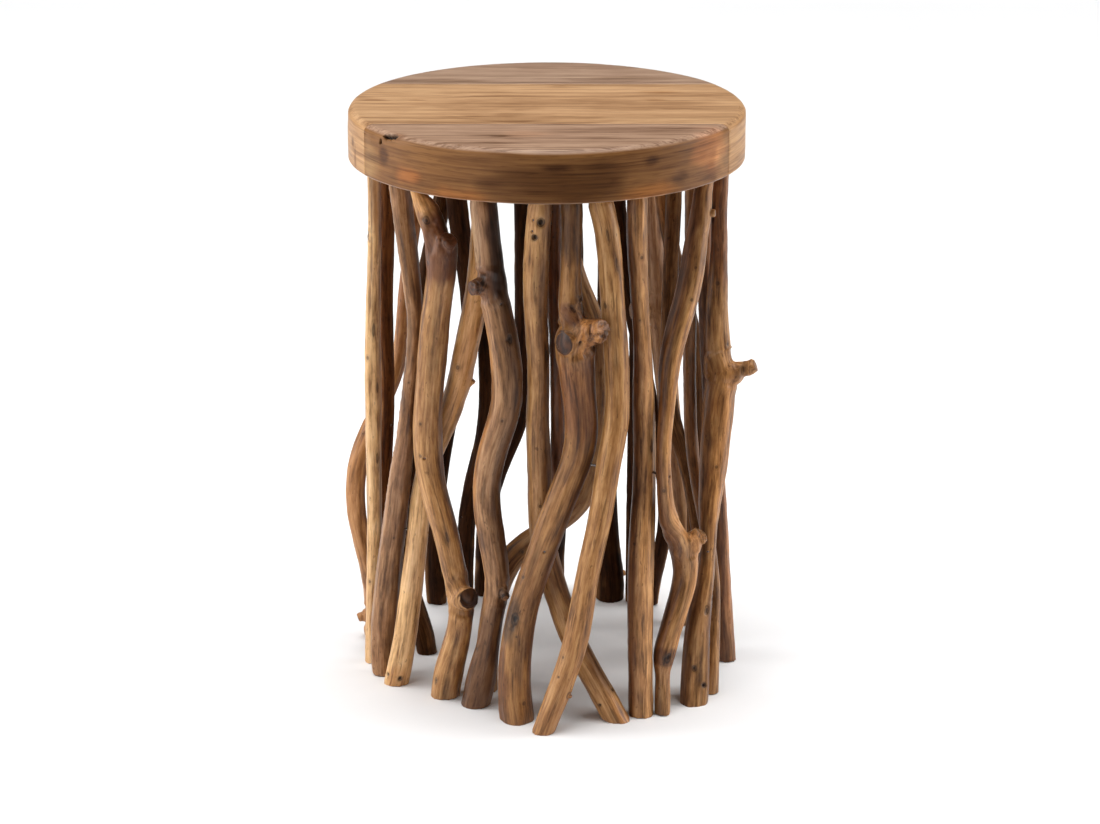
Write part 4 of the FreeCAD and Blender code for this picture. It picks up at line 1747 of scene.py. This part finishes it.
    def tinted(self, points: np.ndarray, gap: np.ndarray, rim: np.ndarray) -> np.ndarray:
        """Colour that each vertex multiplies its wood by.

        Args:
            points: Vertices.
            gap: How deep in a split each vertex is.
            rim: Each vertex's share in the rim.

        Returns:
            One colour with alpha for each vertex.
        """
        colour = 1.0 + rim[:, None] * (np.array(self.rim) - 1.0)
        for number, stain in enumerate(self.stains):
            ragged = lattice_noise(points / self.STAIN_SIZE, self.seed + self.STAIN_SEED + number)
            middle, reach = np.array(stain.middle) * MM, np.array(stain.reach) * MM
            off = np.linalg.norm((points - middle) / reach, axis=1)
            weight = smooth_step(*self.STAIN_EDGE, off + self.STAIN_RAGGED * ragged)[:, None]
            colour *= 1.0 + weight * (np.array(stain.colour) - 1.0)
        colour *= (1.0 - self.SPLIT_DARK * gap)[:, None]
        return np.column_stack((colour, np.ones(len(points))))


BOARDS = (
    Board(
        "top_board_front", PINK_BOARD, 40,
        stains=(
            Stain((10.0, -150.0, 424.0), (75.0, 16.0, 18.0), (0.52, 0.46, 0.38)),
            Stain((-131.0, -76.0, 424.0), (12.0, 20.0, 19.0), (1.45, 1.8, 2.3)),
            Stain((132.0, -75.0, 424.0), (12.0, 22.0, 19.0), (1.7, 1.95, 2.4)),
            Stain((6.0, -150.0, 437.3), (13.0, 8.0, 3.0), (0.35, 0.28, 0.25)),
            Stain((119.0, -90.0, 434.0), (21.0, 24.0, 17.0), (1.75, 1.55, 1.5)),
            Stain((133.0, -69.0, 427.0), (9.0, 10.0, 10.0), (0.75, 0.78, 0.85)),
            Stain((95.0, -116.0, 421.0), (10.0, 10.0, 5.0), (0.5, 0.45, 0.4)),
            Stain((76.0, -129.0, 438.0), (7.0, 7.0, 4.0), (0.45, 0.4, 0.36)),
            Stain((78.0, -129.0, 414.0), (36.0, 16.0, 8.0), (1.7, 1.5, 1.2)),
            Stain((-101.0, -111.0, 422.0), (13.0, 13.0, 7.0), (1.75, 1.45, 1.2)),
            Stain((-66.0, -135.0, 412.0), (32.0, 14.0, 8.0), (1.55, 1.35, 1.1)),
            Stain((-119.0, -91.0, 432.0), (5.0, 9.0, 8.0), (0.45, 0.38, 0.33)),
            Stain((-114.0, -103.0, 450.0), (12.0, 7.0, 4.0), (0.7, 0.6, 0.52)),
            Stain((-33.0, -105.0, 450.0), (8.0, 3.0, 4.0), (0.45, 0.38, 0.32)),
            Stain((-12.0, -98.0, 450.0), (22.0, 10.0, 4.0), (1.2, 1.15, 1.1)),
        ),
        splits=(
            Split((-119.7, -91.0, 446.4), (-109.0, -101.3, 448.5), 4.8, 3.5),
            Split((-120.6, -92.0, 444.4), (-116.8, -95.8, 445.2), 2.4, 2.5),
            Split((-122.9, -87.9, 439.4), (-121.5, -89.0, 443.6), 3.2, 2.5),
        ),
        rim=(0.58, 0.40, 0.19),
    ),
    Board(
        "top_board_middle", GOLDEN_BOARD, 50,
        stains=(
            Stain((-132.0, 12.0, 450.0), (12.0, 2.5, 4.0), (0.55, 0.45, 0.38)),
            Stain((-99.0, 12.0, 450.0), (8.0, 2.0, 4.0), (0.65, 0.55, 0.48)),
            Stain((88.0, 39.0, 450.0), (16.0, 4.0, 4.0), (0.7, 0.58, 0.45)),
            Stain((83.0, 12.0, 450.0), (10.0, 3.0, 4.0), (0.7, 0.62, 0.52)),
            Stain((-146.0, -42.0, 430.0), (5.0, 5.0, 5.0), (0.4, 0.32, 0.26)),
            Stain((-143.0, -48.0, 421.0), (4.0, 3.0, 12.0), (0.55, 0.46, 0.38)),
        ),
        rim=(1.02, 0.97, 0.87),
    ),
    Board(
        "top_board_back", GREY_BOARD, 60,
        stains=(
            Stain((-71.0, 76.0, 450.0), (35.0, 7.0, 4.0), (0.72, 0.68, 0.62)),
            Stain((72.0, 88.0, 450.0), (45.0, 8.0, 4.0), (0.78, 0.74, 0.7)),
        ),
        rim=(0.7, 0.58, 0.42),
        facing=1.0,
    ),
)


@dataclass(frozen=True)
class NailFinish:
    """Dull, slightly rusty steel."""

    name: str = "nail_dull_steel"
    steel: Colour = (0.16, 0.14, 0.13)
    rust: Colour = (0.09, 0.045, 0.025)
    metallic: float = 0.8

    SPOTS = Layer((900.0, 900.0, 900.0), 3.0)
    RUST_RISE = (0.45, 0.62)
    ROUGH_RISE = (0.3, 0.7, 0.6)
    RELIEF_DEPTH = 0.05 * MM

    def material(self) -> bpy.types.Material:
        """The finish as a new material.

        Returns:
            The material.
        """
        wire = Wiring(self.name)
        spots = wire.noise(wire.object_place(), self.SPOTS)
        wire.shader.inputs["Metallic"].default_value = self.metallic
        colour = wire.mix(wire.rise(spots, *self.RUST_RISE), self.steel, self.rust)
        return wire.finish(colour, wire.rise(spots, *self.ROUGH_RISE), spots, self.RELIEF_DEPTH)

    def dress(self, node: str) -> bpy.types.Object:
        """Give the finish to a CAD node, which keeps its own mesh.

        Args:
            node: Name of the node.

        Returns:
            The node's object.
        """
        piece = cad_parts[node]
        piece.data.materials.clear()
        piece.data.materials.append(self.material())
        return piece


@dataclass(frozen=True)
class Lamp:
    """A soft rectangular lamp: its place, where it looks, its size, its watts and its spread in degrees."""

    name: str
    place: Triple
    aim: Triple
    width: float
    height: float
    power: float
    spread: float = 180.0

    def build(self) -> bpy.types.Object:
        """Hang the lamp.

        Returns:
            The lamp.
        """
        light = bpy.data.lights.new(self.name, "AREA")
        light.shape = "RECTANGLE"
        light.size, light.size_y = self.width, self.height
        light.energy = self.power
        light.spread = math.radians(self.spread)
        lamp = bpy.data.objects.new(self.name, light)
        lamp.location = self.place
        lamp.rotation_euler = (Vector(self.aim) - Vector(self.place)).to_track_quat("-Z", "Y").to_euler()
        bpy.context.scene.collection.objects.link(lamp)
        return lamp


@dataclass(frozen=True)
class Studio:
    """Pale floor, soft lamps, dim surroundings and the camera at the photograph's viewing angle."""

    floor_size: float = 12.0
    floor_shift: float = 2.0
    floor_pale: Colour = (0.88, 0.88, 0.885)
    floor_mid: Colour = (0.86, 0.86, 0.865)
    floor_roughness: float = 0.6
    surround: float = 0.02
    camera_place: Triple = (0.0, -2.55, 1.037)
    camera_tilt: float = 71.92
    lens: float = 112.8
    shift: float = 0.003
    lamps: tuple[Lamp, ...] = (
        Lamp("lamp_over", (0.0, 1.75, 2.8), (0.0, 1.75, 0.0), 4.6, 5.2, 88.0, 60.0),
        Lamp("lamp_left", (-1.65, 0.0, 0.8), (0.0, 0.0, 0.25), 0.9, 1.3, 19.0),
        Lamp("lamp_right", (1.65, 0.0, 0.8), (0.0, 0.0, 0.25), 0.9, 1.3, 20.0),
        Lamp("lamp_front", (-1.06, -1.26, 0.8), (0.0, 0.0, 0.25), 0.9, 1.3, 9.5),
    )

    FLOOR_CLOUDS = Layer((1.5, 1.5, 1.5), 2.0)
    FLOOR_STOPS = (0.3, 0.7)
    FLOOR_RELIEF = 0.01 * MM

    def build(self) -> None:
        """Set up the floor, the light and the camera."""
        self.lay_floor()
        for lamp in self.lamps:
            lamp.build()
        self.light_surround()
        self.set_camera()

    def lay_floor(self) -> None:
        """Lay the floor under and behind the table."""
        body = bmesh.new()
        bmesh.ops.create_grid(body, x_segments=1, y_segments=1, size=self.floor_size / 2)
        bmesh.ops.translate(body, verts=body.verts[:], vec=(0.0, self.floor_shift, 0.0))
        mesh = bpy.data.meshes.new("floor")
        body.to_mesh(mesh)
        body.free()
        wire = Wiring("floor_white")
        clouds = wire.noise(wire.object_place(), self.FLOOR_CLOUDS)
        low, high = self.FLOOR_STOPS
        colour = wire.ramp(clouds, (low, self.floor_mid), (high, self.floor_pale))
        mesh.materials.append(wire.finish(colour, self.floor_roughness, clouds, self.FLOOR_RELIEF))
        floor = bpy.data.objects.new("floor", mesh)
        bpy.context.scene.collection.objects.link(floor)

    def light_surround(self) -> None:
        """Set the dim light that comes from all round."""
        world = bpy.data.worlds.new("surround")
        world.use_nodes = True
        background = world.node_tree.nodes["Background"]
        background.inputs["Color"].default_value = (1.0, 1.0, 1.0, 1.0)
        background.inputs["Strength"].default_value = self.surround
        bpy.context.scene.world = world
        bpy.context.scene.view_settings.view_transform = "Standard"

    def set_camera(self) -> None:
        """Set the camera."""
        data = bpy.data.cameras.new("camera")
        data.lens = self.lens
        data.shift_x = self.shift
        camera = bpy.data.objects.new("camera", data)
        camera.location = self.camera_place
        camera.rotation_euler = (math.radians(self.camera_tilt), 0.0, 0.0)
        bpy.context.scene.collection.objects.link(camera)
        bpy.context.scene.camera = camera


def main() -> None:
    """Build every piece of the table, then the studio."""
    logging.basicConfig(level=logging.INFO, format="%(message)s")
    for part in (*BOARDS, *BRANCHES):
        piece = part.build()
        LOG.info("%s: %d faces", piece.name, len(piece.data.polygons))
    piece = NailFinish().dress("branch_nails")
    LOG.info("%s: %d faces", piece.name, len(piece.data.polygons))
    Studio().build()


if __name__ == "__main__":
    main()
